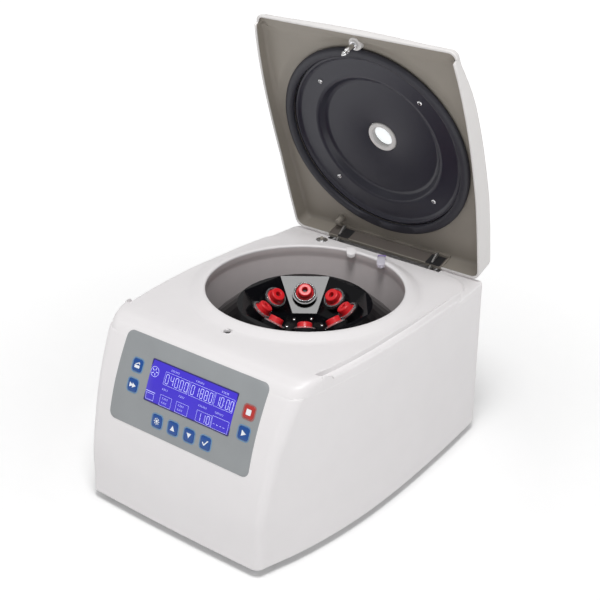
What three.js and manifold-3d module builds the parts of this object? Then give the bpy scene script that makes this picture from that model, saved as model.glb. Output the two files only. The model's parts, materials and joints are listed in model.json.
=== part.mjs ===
// A benchtop laboratory centrifuge: a low-speed machine with a fixed-angle rotor for eight capped
// tubes, a hinged lid that stands open, and a keypad with a display on its curved front.
// Millimetres, +Z up, the front facing -Y. Everything is drawn in the machine's own frame, with its
// origin on the spin axis in the plane of the chamber mouth's lip. The exported group moves that
// frame so that the part's origin is on the bench, below the middle of its bounding box.
import * as THREE from "three";
import { mergeVertices } from "three/addons/utils/BufferGeometryUtils.js";
import Module from "manifold-3d";

const wasm = await Module();
wasm.setup();

// ---- Driving dimensions ------------------------------------------------------------------------
const RIM_HEIGHT = 217; // lip of the chamber mouth above the bench
const FOOT_HEIGHT = 10;
const SPIN_AXIS_Y = 17.1; // spin axis behind the middle of the bounding box
const MOUTH_RADIUS = 115;
const GAP = 0.3; // between pieces that touch
const WALL = 3; // moulded plastic
const REACH = 170; // half-width of the prisms that are cut down to the body

const BODY = { front: -238, rear: 171, bottom: FOOT_HEIGHT - RIM_HEIGHT, frontRadius: 11, rearRadius: 12 };
const BULGE = { y: -15, halfWidth: 153.3 }; // where the body is widest
const FRONT_NARROWING = { drop: 31, length: 219, power: 2.3 };
const REAR_NARROWING = { drop: 8.8, length: 183, power: 1.75 };
const DRAFT = 0.02; // share of the width that the sides lose from the bottom to the rim
const FRONT_BOW = 2;
const DECK = { z: -4.5, slopeStart: 40, rearZ: -8.5 };
const SHELF = { y: 143.5, z: -15.5 }; // rear shelf that the lid's back wall comes down on
const LEDGE = { front: -153, z: -10, width: 9.5 }; // along both sides, for the lid's skirt
const FRONT_FACE = [
  [-238.5, -207],
  [-233.4, -150],
  [-216, -77],
  [-190, -20],
  [-174, -7],
  [-157, DECK.z],
]; // side view of the front, from the bottom up to the deck: y, z

const PANEL = { y: -204.2, z: -60.3, tilt: 0.4225, width: 199, height: 101, radius: 8 };
const DISPLAY = { x: 6, v: 7, width: 120, height: 46.5, radius: 1.5 };
const KEY = { size: 14, radius: 3, clearance: 0.4, back: -5, front: 1 };
const KEYS = {
  key_lid: [-73, 16],
  key_spin: [-73, -6.5],
  key_menu: [-30, -33.3],
  key_up: [-7, -33.3],
  key_down: [16, -33.3],
  key_enter: [39, -33.3],
  key_stop: [84, 16],
  key_start: [84, -6.5],
}; // place of each key's middle: across the panel, up the panel

const LID_ANGLE = 71.35; // how far the lid stands open, degrees
const HINGE_SLOT = { halfWidth: 84, front: 147, rear: 168 }; // in the rear shelf
const HINGE = { y: 157.2, z: -22, pinRadius: 4, pinEnd: 84, armX: 70, earX: 77, thickness: 3 };
const LID = { front: -155, rear: 151, inset: 8.3, frontRadius: 9, rearRadius: 12 };
const LID_SHOULDER = [
  [-155, 1],
  [-133, 8.5],
  [-97, 16],
  [-76, 18.5],
  [-29, 21],
  [48, 24],
  [92, 22.5],
  [151, 19],
]; // height of the lid's top along its sides: y, z
const LID_CROWN = 8; // how much higher the lid is along its middle
const LID_EDGE_RADIUS = 10;
const LID_RIM = { frontZ: -3.5, skirtStart: -145, skirtZ: -8.8, rearZ: -14.2 };
const LID_NOTCH = { halfWidth: 4, top: 7 }; // in the back wall, one for each hinge arm
const LINER = { z: 8, thickness: 2.5, hole: 118.3 };
const STRIKER = { y: -137.7, radius: 3.2, neck: 1.5, neckTop: -14.3, neckBottom: -19.7, tip: -24 };
const LATCH = { hole: 4.6, boltHeight: 4, boltZ: -17, rest: -5, width: 6 };
const LID_SWITCH = { x: -75.7, y: 134.5, pin: 2.4, top: -4 };

const TUBE_COUNT = 8;
const TUBE_PHASE = -7.73; // of the first tube round the spin axis, degrees
const TUBE_TILT = 40; // tube axes off vertical, degrees
const TUBE_SEAT = { r: 53.5, z: -38, depth: 15 }; // on a facet, and how far it lies below the cap's top
const TUBE = { radius: 8, bottom: -82, collar: 13, sleeve: 15.3 };
const ROTOR = { rim: 79, rimZ: -22, radius: 110, shoulderZ: -50, bottomZ: -101, floorZ: -54 };
const FUNNEL = { top: 72, floor: 35 }; // middle of a facet from the axis
const HUB = { radius: 30, topZ: -48 };
const SHAFT_RADIUS = 6;

const BOWL = { radius: 117.3, floorZ: -120, corner: 14, thickness: 1.3, hole: 30 };
const MOTOR = { radius: 40, topZ: -128, bottomZ: -195, plateZ: -150 };
const FEET = { x: 105, front: -205, rear: 140 };
const REAR_WINDOW = { halfWidth: 105, bottom: -186, top: -112 };
const INLET = { x: -70, z: -150, width: 27.5, height: 20 };
const POWER_SWITCH = { x: -20, z: -150, width: 13, height: 19 };

// ---- Materials ---------------------------------------------------------------------------------
const finish = (color, roughness, metalness = 0) =>
  new THREE.MeshStandardMaterial({ color, roughness, metalness });
const casingWhite = finish(0xe9e6e4, 0.45);
const lidWhite = finish(0xdedad6, 0.5);
const linerWhite = finish(0xd6d0cb, 0.55);
const bowlGrey = finish(0xa29d9d, 0.4);
const panelGrey = finish(0x8e9193, 0.5);
const displayBlue = finish(0x4a3df0, 0.25);
const keyBlue = finish(0x154c9c, 0.4);
const keyRed = finish(0xb3302b, 0.4);
const capRed = finish(0xcf2230, 0.4);
const tubeClear = finish(0xcfd4d6, 0.15);
const rotorBlack = finish(0x101113, 0.25);
const discSlate = finish(0x3b3a45, 0.35);
const rubberBlack = finish(0x1c1c1e, 0.8);
const steel = finish(0xb9bcc0, 0.35, 0.9);
const chrome = finish(0xdadcdf, 0.12, 1);
const aluminium = finish(0xa9adb1, 0.4, 0.9);
const boardGreen = finish(0x1f5a38, 0.6);
const glassClear = finish(0xe8eef0, 0.05);

// ---- Building blocks ---------------------------------------------------------------------------
const radians = THREE.MathUtils.degToRad;

// A closed three.js geometry as a manifold solid.
function solid(geometry) {
  const bare = geometry.clone();
  bare.deleteAttribute("normal");
  bare.deleteAttribute("uv");
  const merged = mergeVertices(bare, 1e-4);
  return new wasm.Manifold(
    new wasm.Mesh({
      numProp: 3,
      vertProperties: merged.attributes.position.array,
      triVerts: new Uint32Array(merged.index.array),
    }),
  );
}

function geometryOf(manifold) {
  const mesh = manifold.getMesh();
  const geometry = new THREE.BufferGeometry();
  geometry.setAttribute("position", new THREE.BufferAttribute(mesh.vertProperties, 3));
  geometry.setIndex(new THREE.BufferAttribute(mesh.triVerts, 1));
  return geometry;
}

const cut = (from, ...tools) => tools.reduce((left, tool) => left.subtract(tool), from);
const join = (...pieces) => pieces.reduce((sum, piece) => sum.add(piece));
const outline = (points) => new THREE.Shape(points.map(([x, y]) => new THREE.Vector2(x, y)));

// A shape drawn in plan, from one height up to another.
function upright(shape, bottom, top, curveSegments = 4) {
  const depth = top - bottom;
  const geometry = new THREE.ExtrudeGeometry(shape, { depth, curveSegments, bevelEnabled: false });
  return geometry.translate(0, 0, bottom);
}

// A shape drawn in side view, y to the right and z up, from one x to another.
const SIDE_VIEW = new THREE.Matrix4().makeBasis(
  new THREE.Vector3(0, 1, 0),
  new THREE.Vector3(0, 0, 1),
  new THREE.Vector3(1, 0, 0),
);
const across = (points, left = -REACH, right = REACH) =>
  solid(upright(outline(points), left, right).applyMatrix4(SIDE_VIEW));

// A profile of radius and height turned about the vertical axis. It runs anticlockwise, and either
// has both ends on the axis or closes on itself.
function turned(profile, segments = 32) {
  const ends = [profile[0], profile.at(-1)];
  const closed = ends.every(([r]) => r === 0) ? profile : [...profile, profile[0]];
  const points = closed.map(([r, z]) => new THREE.Vector2(r, z));
  return solid(new THREE.LatheGeometry(points, segments).rotateX(Math.PI / 2));
}

const box = (x0, x1, y0, y1, z0, z1) =>
  solid(new THREE.BoxGeometry(x1 - x0, y1 - y0, z1 - z0)).translate([(x0 + x1) / 2, (y0 + y1) / 2, (z0 + z1) / 2]);

const rod = (radius, z0, z1, segments = 24) =>
  solid(new THREE.CylinderGeometry(radius, radius, z1 - z0, segments).rotateX(Math.PI / 2)).translate([
    0,
    0,
    (z0 + z1) / 2,
  ]);

// A rod along x at a place in side view.
const crossRod = (radius, y, z, x0, x1, segments = 20) =>
  rod(radius, x0, x1, segments).rotate([0, 90, 0]).translate([0, y, z]);

function roundedRect(width, height, radius) {
  const [w, h] = [width / 2, height / 2];
  const shape = new THREE.Shape();
  shape.moveTo(-w + radius, -h);
  shape.lineTo(w - radius, -h);
  shape.quadraticCurveTo(w, -h, w, -h + radius);
  shape.lineTo(w, h - radius);
  shape.quadraticCurveTo(w, h, w - radius, h);
  shape.lineTo(-w + radius, h);
  shape.quadraticCurveTo(-w, h, -w, h - radius);
  shape.lineTo(-w, -h + radius);
  shape.quadraticCurveTo(-w, -h, -w + radius, -h);
  return shape;
}

// Height along a chain of y, z points.
function heightAlong(points, y) {
  const next = points.findIndex(([py]) => py >= y);
  if (next <= 0) return next === 0 ? points[0][1] : points.at(-1)[1];
  const [[y0, z0], [y1, z1]] = [points[next - 1], points[next]];
  return z0 + ((z1 - z0) * (y - y0)) / (y1 - y0);
}

// ---- Outlines that the body and the lid share --------------------------------------------------
function halfWidth(y) {
  const end = y < BULGE.y ? FRONT_NARROWING : REAR_NARROWING;
  return BULGE.halfWidth - end.drop * (Math.abs(y - BULGE.y) / end.length) ** end.power;
}

// Plan of something that follows the bulging sides at an inset.
function bulgingPlan(front, rear, inset, frontRadius, rearRadius, bow = 0, steps = 12) {
  const x = (y) => halfWidth(y) - inset;
  const start = front + frontRadius;
  const end = rear - rearRadius;
  const sideY = Array.from({ length: steps + 1 }, (_, i) => start + ((end - start) * i) / steps);
  const shape = new THREE.Shape();
  shape.moveTo(-x(front) + frontRadius, front + bow);
  shape.quadraticCurveTo(0, front - bow, x(front) - frontRadius, front + bow);
  shape.quadraticCurveTo(x(front), front + bow, x(start), start);
  sideY.slice(1).forEach((y) => shape.lineTo(x(y), y));
  shape.quadraticCurveTo(x(rear), rear, x(rear) - rearRadius, rear);
  shape.lineTo(-x(rear) + rearRadius, rear);
  shape.quadraticCurveTo(-x(rear), rear, -x(end), end);
  sideY.reverse().slice(1).forEach((y) => shape.lineTo(-x(y), y));
  shape.quadraticCurveTo(-x(front), front + bow, -x(front) + frontRadius, front + bow);
  return shape;
}

// A prism of such a plan whose sides lean in slightly towards the top.
function leaningPrism(plan, bottom, top) {
  const geometry = upright(plan, bottom, top);
  const position = geometry.attributes.position;
  for (let i = 0; i < position.count; i++) {
    const rise = (position.getZ(i) - BODY.bottom) / -BODY.bottom;
    position.setX(i, position.getX(i) * (1 - DRAFT * rise));
  }
  return solid(geometry);
}

// The front's side view, moved out along its normal.
const frontCurve = new THREE.SplineCurve(FRONT_FACE.map(([y, z]) => new THREE.Vector2(y, z)));
function frontLine(offset, steps = 12) {
  return Array.from({ length: steps + 1 }, (_, i) => {
    const place = frontCurve.getPoint(i / steps);
    const along = frontCurve.getTangent(i / steps);
    return [place.x - along.y * offset, place.y + along.x * offset];
  });
}

// ---- Groups: the machine, its lid and its rotor ------------------------------------------------
const centrifuge = new THREE.Group();
const machine = new THREE.Group();
machine.position.set(0, SPIN_AXIS_Y, RIM_HEIGHT);
centrifuge.add(machine);

// The lid is drawn shut, and its group swings it back about the hinge pin.
const lidSwing = new THREE.Group();
lidSwing.position.set(0, HINGE.y, HINGE.z);
lidSwing.rotation.x = -radians(LID_ANGLE);
const lid = new THREE.Group();
lid.position.set(0, -HINGE.y, -HINGE.z);
lidSwing.add(lid);

const rotor = new THREE.Group();
rotor.rotation.z = radians(TUBE_PHASE);
machine.add(lidSwing, rotor);

function add(parent, name, shape, material) {
  const mesh = new THREE.Mesh(geometryOf(shape), material);
  mesh.name = name;
  parent.add(mesh);
  return mesh;
}

// ---- Casing ------------------------------------------------------------------------------------
function bodyBlock(inset) {
  const plan = bulgingPlan(
    BODY.front + inset,
    BODY.rear - inset,
    inset,
    BODY.frontRadius,
    BODY.rearRadius,
    FRONT_BOW,
  );
  const front = frontLine(-inset);
  const sideView = [
    [front[0][0], BODY.bottom - 10],
    ...front,
    [DECK.slopeStart, DECK.z - inset],
    [SHELF.y - 0.5 - inset, DECK.rearZ - inset],
    [SHELF.y - inset, SHELF.z - inset],
    [BODY.rear - 5, SHELF.z - 0.5 - inset],
    [BODY.rear - inset, SHELF.z - 5 - inset],
    [BODY.rear + 10, SHELF.z - 9 - inset],
    [BODY.rear + 10, BODY.bottom - 10],
  ];
  const bottom = inset ? BODY.bottom - 5 : BODY.bottom;
  return leaningPrism(plan, bottom, 10).intersect(across(sideView));
}

// What lies above the side ledges and outside the raised deck.
function aboveLedges(margin) {
  const sideView = [
    [LEDGE.front - margin, LEDGE.z - margin],
    [DECK.slopeStart, LEDGE.z - margin],
    [SHELF.y, SHELF.z + 0.8 - margin],
    [BODY.rear + 30, SHELF.z - margin],
    [BODY.rear + 30, 20],
    [LEDGE.front - margin, 20],
  ];
  const deckPlan = bulgingPlan(BODY.front - 20, BODY.rear + 40, LEDGE.width + margin, 5, 5);
  return across(sideView).subtract(leaningPrism(deckPlan, -60, 30));
}

// A rounded outline on the front panel, as a prism along the way that the keys move.
const panelOut = new THREE.Vector3(0, -Math.cos(PANEL.tilt), Math.sin(PANEL.tilt));
const PANEL_VIEW = new THREE.Matrix4()
  .makeBasis(new THREE.Vector3(1, 0, 0), new THREE.Vector3(0, Math.sin(PANEL.tilt), Math.cos(PANEL.tilt)), panelOut)
  .setPosition(0, PANEL.y, PANEL.z);
function onPanel(x, v, width, height, radius, grow = 0) {
  const shape = roundedRect(width + 2 * grow, height + 2 * grow, radius + grow);
  return solid(upright(shape, -25, 25, 3).translate(x, v, 0).applyMatrix4(PANEL_VIEW));
}

// The layer between two offsets of the front's surface.
const frontLayer = (inner, outer) => across([...frontLine(inner), ...frontLine(outer).reverse()]);

function makeHousing() {
  const cavity = bodyBlock(WALL).subtract(aboveLedges(WALL));
  const shell = cut(bodyBlock(0), aboveLedges(0), cavity, rod(MOUTH_RADIUS + 0.5, -40, 20, 48));
  const lip = turned(
    [
      [MOUTH_RADIUS, -14],
      [MOUTH_RADIUS + 3.4, -14],
      [MOUTH_RADIUS + 3.6, -7.4],
      [MOUTH_RADIUS + 16, -7.4],
      [MOUTH_RADIUS + 17, -4.9],
      [MOUTH_RADIUS + 8, -1.2],
      [MOUTH_RADIUS + 4, 0],
      [MOUTH_RADIUS + 1.6, -0.5],
      [MOUTH_RADIUS, -2.6],
    ],
    48,
  );
  return cut(
    join(shell, lip),
    rod(LATCH.hole, -20, 10, 20).translate([0, STRIKER.y, 0]),
    rod(LID_SWITCH.pin + GAP, -30, 10, 16).translate([LID_SWITCH.x, LID_SWITCH.y, 0]),
    box(-HINGE_SLOT.halfWidth, HINGE_SLOT.halfWidth, HINGE_SLOT.front, HINGE_SLOT.rear, -40, 0),
    box(-REAR_WINDOW.halfWidth, REAR_WINDOW.halfWidth, BODY.rear - 9, BODY.rear + 5, REAR_WINDOW.bottom, REAR_WINDOW.top),
    onPanel(0, 0, PANEL.width, PANEL.height, PANEL.radius, GAP),
  );
}
add(machine, "housing", makeHousing(), casingWhite);

function makeBasePan() {
  const z = BODY.bottom;
  const pan = (inset, bottom, top) =>
    solid(upright(bulgingPlan(BODY.front + inset, BODY.rear - inset, inset, 9, 9, FRONT_BOW), bottom, top));
  const tray = cut(pan(WALL + 1.2, z, z + 12), pan(WALL + 3.2, z + 2, z + 20));
  const vents = Array.from({ length: 6 }, (_, i) => box(-40, 40, -135 + 12 * i, -131 + 12 * i, z - 5, z + 5));
  return cut(tray, ...vents);
}
add(machine, "base_pan", makeBasePan(), steel);

function makeFoot() {
  return turned(
    [
      [0, -RIM_HEIGHT],
      [10, -RIM_HEIGHT],
      [11.5, -RIM_HEIGHT + 2],
      [13, BODY.bottom - GAP],
      [0, BODY.bottom - GAP],
    ],
    20,
  );
}
for (const [side, x] of [["left", -FEET.x], ["right", FEET.x]]) {
  add(machine, `foot_front_${side}`, makeFoot().translate([x, FEET.front, 0]), rubberBlack);
  add(machine, `foot_rear_${side}`, makeFoot().translate([x, FEET.rear, 0]), rubberBlack);
}

// ---- Chamber, motor and its suspension ---------------------------------------------------------
function makeBowl() {
  const { radius: r, floorZ, corner, thickness: t, hole } = BOWL;
  return turned(
    [
      [hole, floorZ - t],
      [r - corner, floorZ - t],
      [r + t, floorZ + corner - t],
      [r + t, -14 - GAP],
      [r, -14 - GAP],
      [r, floorZ + corner],
      [r - corner, floorZ],
      [hole, floorZ],
    ],
    32,
  );
}
add(machine, "chamber_bowl", makeBowl(), bowlGrey);

// A rubber bellows from the motor up to the hole in the chamber's floor.
const shaftBoot = turned([
  [18, MOTOR.topZ + GAP],
  [25, MOTOR.topZ + GAP],
  [27, MOTOR.topZ + 3],
  [25, MOTOR.topZ + 5],
  [34, BOWL.floorZ - BOWL.thickness - GAP],
  [BOWL.hole - GAP, BOWL.floorZ - BOWL.thickness - GAP],
  [BOWL.hole - GAP, BOWL.floorZ + 1.5],
  [20, BOWL.floorZ + 2.5],
  [14, BOWL.floorZ + 6],
  [9, BOWL.floorZ + 7],
  [9, BOWL.floorZ + 5],
  [16, BOWL.floorZ],
]);
add(machine, "shaft_boot", shaftBoot, rubberBlack);

const motor = turned([
  [0, MOTOR.bottomZ],
  [MOTOR.radius - 4, MOTOR.bottomZ],
  [MOTOR.radius, MOTOR.bottomZ + 4],
  [MOTOR.radius, MOTOR.plateZ + 3 + GAP],
  [MOTOR.radius + 7, MOTOR.plateZ + 3 + GAP],
  [MOTOR.radius + 7, MOTOR.plateZ + 7],
  [MOTOR.radius - 2, MOTOR.plateZ + 8],
  [MOTOR.radius - 6, MOTOR.topZ - 4],
  [16, MOTOR.topZ - 4],
  [15, MOTOR.topZ],
  [SHAFT_RADIUS + 0.4, MOTOR.topZ],
  [SHAFT_RADIUS + 0.4, MOTOR.topZ - 30],
  [0, MOTOR.topZ - 30],
]);
add(machine, "motor", motor, aluminium);

const DAMPER_ORBIT = 62;
const motorPlate = cut(
  rod(75, MOTOR.plateZ, MOTOR.plateZ + 3, 32),
  rod(MOTOR.radius + GAP, MOTOR.plateZ - 1, MOTOR.plateZ + 4, 32),
);
add(machine, "motor_plate", motorPlate, steel);
for (const [place, angle] of [["front", -90], ["left", 150], ["right", 30]]) {
  const damper = turned(
    [
      [0, BODY.bottom + 2 + GAP],
      [11, BODY.bottom + 2 + GAP],
      [11, BODY.bottom + 14],
      [8.5, BODY.bottom + 20],
      [8.5, MOTOR.plateZ - 10],
      [11, MOTOR.plateZ - GAP],
      [0, MOTOR.plateZ - GAP],
    ],
    16,
  );
  const at = [DAMPER_ORBIT * Math.cos(radians(angle)), DAMPER_ORBIT * Math.sin(radians(angle)), 0];
  add(machine, `damper_${place}`, damper.translate(at), rubberBlack);
}

// ---- Rotor, turning with its shaft and its tubes -----------------------------------------------
// Something drawn along a tube's axis, its origin at the middle of the cap's top, put in its seat.
function inSeat(shape, index) {
  const tilt = radians(TUBE_TILT);
  const r = TUBE_SEAT.r - TUBE_SEAT.depth * Math.sin(tilt);
  const z = TUBE_SEAT.z + TUBE_SEAT.depth * Math.cos(tilt);
  return shape
    .rotate([0, -TUBE_TILT, 0])
    .translate([r, 0, z])
    .rotate([0, 0, (360 / TUBE_COUNT) * index]);
}

function makeRotor() {
  const body = turned(
    [
      [0, ROTOR.bottomZ],
      [92, ROTOR.bottomZ],
      [104, ROTOR.bottomZ + 4],
      [ROTOR.radius, ROTOR.bottomZ + 13],
      [ROTOR.radius, ROTOR.shoulderZ],
      [ROTOR.radius - 3, ROTOR.shoulderZ + 3.5],
      [ROTOR.rim, ROTOR.rimZ],
      [0, ROTOR.rimZ],
    ],
    40,
  );
  const corner = 1 / Math.cos(Math.PI / TUBE_COUNT);
  const slope = (FUNNEL.top - FUNNEL.floor) / (ROTOR.rimZ - ROTOR.floorZ);
  const funnel = solid(
    new THREE.CylinderGeometry(
      (FUNNEL.top + slope * 4) * corner,
      FUNNEL.floor * corner,
      ROTOR.rimZ + 4 - ROTOR.floorZ,
      TUBE_COUNT,
    ).rotateX(Math.PI / 2),
  )
    .rotate([0, 0, 180 / TUBE_COUNT])
    .translate([0, 0, (ROTOR.rimZ + 4 + ROTOR.floorZ) / 2]);
  const seats = Array.from({ length: TUBE_COUNT }, (_, i) => i);
  const sleeves = seats.map((i) => inSeat(rod(TUBE.sleeve, -30, -9, 18), i));
  const bores = seats.flatMap((i) => [
    inSeat(rod(TUBE.collar + 0.5, -TUBE_SEAT.depth, 20, 18), i),
    inSeat(rod(TUBE.radius + 0.5, TUBE.bottom - 1, -10, 14), i),
  ]);
  // The underside is hollowed out, inboard of the tubes.
  const hollow = turned([
    [16, ROTOR.bottomZ - 1],
    [82, ROTOR.bottomZ - 1],
    [52, -72],
    [36, -62],
    [16, -62],
  ]);
  return cut(join(cut(body, funnel), ...sleeves), ...bores, hollow, rod(SHAFT_RADIUS + 0.4, -120, -30));
}
add(rotor, "rotor", makeRotor(), rotorBlack);

const rotorHub = turned(
  [
    [0, ROTOR.floorZ + GAP],
    [HUB.radius, ROTOR.floorZ + GAP],
    [HUB.radius, HUB.topZ - 1],
    [HUB.radius - 1, HUB.topZ],
    [0, HUB.topZ],
  ],
  32,
);
add(rotor, "rotor_hub", rotorHub, rotorBlack);

const shaft = turned(
  [
    [0, MOTOR.topZ - 29],
    [SHAFT_RADIUS, MOTOR.topZ - 29],
    [SHAFT_RADIUS, ROTOR.floorZ - 2],
    [SHAFT_RADIUS - 1.5, ROTOR.floorZ - 0.5],
    [0, ROTOR.floorZ - 0.5],
  ],
  20,
);
add(rotor, "motor_shaft", shaft, steel);

const COLLAR_SEAT = -TUBE_SEAT.depth + GAP;
function makeTube() {
  const { radius, bottom, collar } = TUBE;
  const bore = radius - 1.4;
  return turned(
    [
      [0, bottom],
      [radius - 2.5, bottom + 2],
      [radius, bottom + 7],
      [radius, COLLAR_SEAT],
      [collar, COLLAR_SEAT],
      [collar, -7],
      [collar - 2, -7],
      [collar - 2, COLLAR_SEAT + 1.4],
      [bore, COLLAR_SEAT + 1.4],
      [bore, bottom + 7],
      [0, bottom + 4.5],
    ],
    14,
  );
}

function makeCap() {
  return turned(
    [
      [0, -21],
      [6, -21],
      [6, -13],
      [10.4, -13],
      [10.4, -8],
      [8.5, -8],
      [8.5, -0.8],
      [7.8, 0],
      [3, 0],
      [3, -6],
      [0, -6],
    ],
    14,
  );
}
for (let i = 0; i < TUBE_COUNT; i++) {
  add(rotor, `tube_${i + 1}`, inSeat(makeTube(), i), tubeClear);
  add(rotor, `tube_cap_${i + 1}`, inSeat(makeCap(), i), capRed);
}

// ---- Control panel -----------------------------------------------------------------------------
function makePanel() {
  const keyHoles = Object.values(KEYS).map(([x, v]) => onPanel(x, v, KEY.size, KEY.size, KEY.radius, KEY.clearance));
  return cut(
    frontLayer(-2.6, 0.4).intersect(onPanel(0, 0, PANEL.width, PANEL.height, PANEL.radius)),
    onPanel(DISPLAY.x, DISPLAY.v, DISPLAY.width, DISPLAY.height, DISPLAY.radius, GAP),
    ...keyHoles,
  );
}
add(machine, "control_panel", makePanel(), panelGrey);

const display = frontLayer(-7, 0).intersect(
  onPanel(DISPLAY.x, DISPLAY.v, DISPLAY.width, DISPLAY.height, DISPLAY.radius),
);
add(machine, "display", display, displayBlue);

for (const [name, [x, v]] of Object.entries(KEYS)) {
  const key = frontLayer(KEY.back, KEY.front).intersect(onPanel(x, v, KEY.size, KEY.size, KEY.radius));
  add(machine, name, key, name === "key_stop" ? keyRed : keyBlue);
}

// The board stands parallel to the panel, behind the keys.
const BOARD = { width: 184, height: 84, thickness: 1.6, behind: 16 };
const controlBoard = solid(
  new THREE.BoxGeometry(BOARD.width, BOARD.height, BOARD.thickness)
    .translate(0, 0, -BOARD.behind)
    .applyMatrix4(PANEL_VIEW),
);
add(machine, "control_board", controlBoard, boardGreen);

// ---- Rear panel, mains inlet and power switch --------------------------------------------------
function makeRearPanel() {
  const { halfWidth: w, bottom, top } = REAR_WINDOW;
  const plate = box(-w + GAP, w - GAP, BODY.rear - 3, BODY.rear - 1, bottom + GAP, top - GAP);
  const vents = Array.from({ length: 8 }, (_, i) => box(22 + 9 * i, 26 + 9 * i, BODY.rear - 9, BODY.rear + 5, -172, -126));
  const hole = ({ x, z, width, height }) =>
    box(x - width / 2, x + width / 2, BODY.rear - 9, BODY.rear + 5, z - height / 2, z + height / 2);
  return cut(plate, ...vents, hole(INLET), hole(POWER_SWITCH));
}
add(machine, "rear_panel", makeRearPanel(), steel);

function makeInlet() {
  const { x, z, width, height } = INLET;
  const [w, h] = [width / 2 - GAP, height / 2 - GAP];
  const back = BODY.rear - 1 + GAP;
  const body = box(x - w, x + w, BODY.rear - 26, back + 2, z - h, z + h);
  const flange = box(x - w - 5, x + w + 5, back, back + 2, z - h - 4, z + h + 4);
  const socket = box(x - w + 1.8, x + w - 1.8, back - 16, back + 5, z - h + 1.8, z + h - 1.8);
  const pins = [-7, 0, 7].map((dx) => {
    const rise = dx === 0 ? 2 : -2;
    return box(x + dx - 1, x + dx + 1, back - 18, back - 2, z + rise - 2.5, z + rise + 2.5);
  });
  return join(cut(join(body, flange), socket), ...pins);
}
add(machine, "power_inlet", makeInlet(), rubberBlack);

// A rocker on a pivot along x, tilted to its lower end: it turns through twice the tilt.
const ROCKER = { tilt: 8, pivotY: BODY.rear - 5 };
const rocker = across(
  [
    [BODY.rear - 12, -5],
    [BODY.rear - 5, -8.2],
    [BODY.rear + 0.5, -8.2],
    [BODY.rear - 1, 0],
    [BODY.rear + 0.5, 8.2],
    [BODY.rear - 5, 8.2],
    [BODY.rear - 12, 5],
  ],
  -5.5,
  5.5,
)
  .translate([0, -ROCKER.pivotY, 0])
  .rotate([ROCKER.tilt, 0, 0])
  .translate([POWER_SWITCH.x, ROCKER.pivotY, POWER_SWITCH.z]);
add(machine, "power_switch", rocker, rubberBlack);

// ---- Latch and lid switch, under the deck ------------------------------------------------------
function makeLatchHousing() {
  const top = DECK.z - WALL - GAP;
  const block = box(-32, 14, STRIKER.y - 11, STRIKER.y + 9, -38, top);
  const half = LATCH.width / 2 + GAP;
  const channel = box(-40, 10, STRIKER.y - half, STRIKER.y + half, LATCH.boltZ - 2 - GAP, LATCH.boltZ + 2 + GAP);
  const well = rod(LATCH.hole - 0.4, -30, 0, 20).translate([0, STRIKER.y, 0]);
  return cut(block, channel, well);
}
add(machine, "latch_housing", makeLatchHousing(), rubberBlack);

const half = LATCH.width / 2;
const bolt = box(
  LATCH.rest - 24,
  LATCH.rest,
  STRIKER.y - half,
  STRIKER.y + half,
  LATCH.boltZ - LATCH.boltHeight / 2,
  LATCH.boltZ + LATCH.boltHeight / 2,
);
add(machine, "latch_bolt", bolt, steel);

const switchPin = turned(
  [
    [0, -26],
    [LID_SWITCH.pin, -26],
    [LID_SWITCH.pin, LID_SWITCH.top - 1],
    [LID_SWITCH.pin - 0.8, LID_SWITCH.top],
    [0, LID_SWITCH.top],
  ],
  14,
).translate([LID_SWITCH.x, LID_SWITCH.y, 0]);
add(machine, "lid_switch_pin", switchPin, linerWhite);

// ---- Hinge -------------------------------------------------------------------------------------
add(
  machine,
  "hinge_pin",
  crossRod(HINGE.pinRadius, HINGE.y, HINGE.z, -HINGE.pinEnd, HINGE.pinEnd),
  steel,
);

// One bent plate on the inside of the rear wall, with an ear at each end of the pin.
function makeHingeBracket() {
  const inner = BODY.rear - WALL - GAP;
  const back = box(-81, 81, inner - 3, inner, -62, -34);
  const ears = [-HINGE.earX, HINGE.earX].map((x) =>
    box(x - 1.5, x + 1.5, HINGE.y - 6.5, inner, -62, HINGE.z + 6.2),
  );
  return cut(join(back, ...ears), crossRod(HINGE.pinRadius + GAP, HINGE.y, HINGE.z, -90, 90));
}
add(machine, "hinge_bracket", makeHingeBracket(), steel);

// A cranked arm from its eye on the pin, through the notch in the lid's back wall, to the liner.
function makeHingeArm(x) {
  const [left, right] = [x - HINGE.thickness / 2, x + HINGE.thickness / 2];
  const arm = across(
    [
      [138, LINER.z - GAP],
      [138, 3],
      [138, 1],
      [145, -7],
      [150.5, -20],
      [157.5, -16],
      [150, -4],
      [144, LINER.z - GAP],
    ],
    left,
    right,
  );
  const eye = crossRod(7, HINGE.y, HINGE.z, left, right);
  return cut(join(arm, eye), crossRod(HINGE.pinRadius + GAP, HINGE.y, HINGE.z, -90, 90));
}
add(lid, "hinge_arm_left", makeHingeArm(-HINGE.armX), steel);
add(lid, "hinge_arm_right", makeHingeArm(HINGE.armX), steel);

// ---- Lid ---------------------------------------------------------------------------------------
// Height of the lid's outer surface: crowned across, and rounded off along its two sides.
function lidTop(x, y) {
  const side = halfWidth(y) - LID.inset;
  const crown = LID_CROWN * Math.max(0, 1 - (x / side) ** 2);
  const depth = Math.min(LID_EDGE_RADIUS, Math.max(0, LID_EDGE_RADIUS - (side - Math.abs(x))));
  const rounding = LID_EDGE_RADIUS - Math.sqrt(LID_EDGE_RADIUS ** 2 - depth ** 2);
  return heightAlong(LID_SHOULDER, y) + crown - rounding;
}

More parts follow.
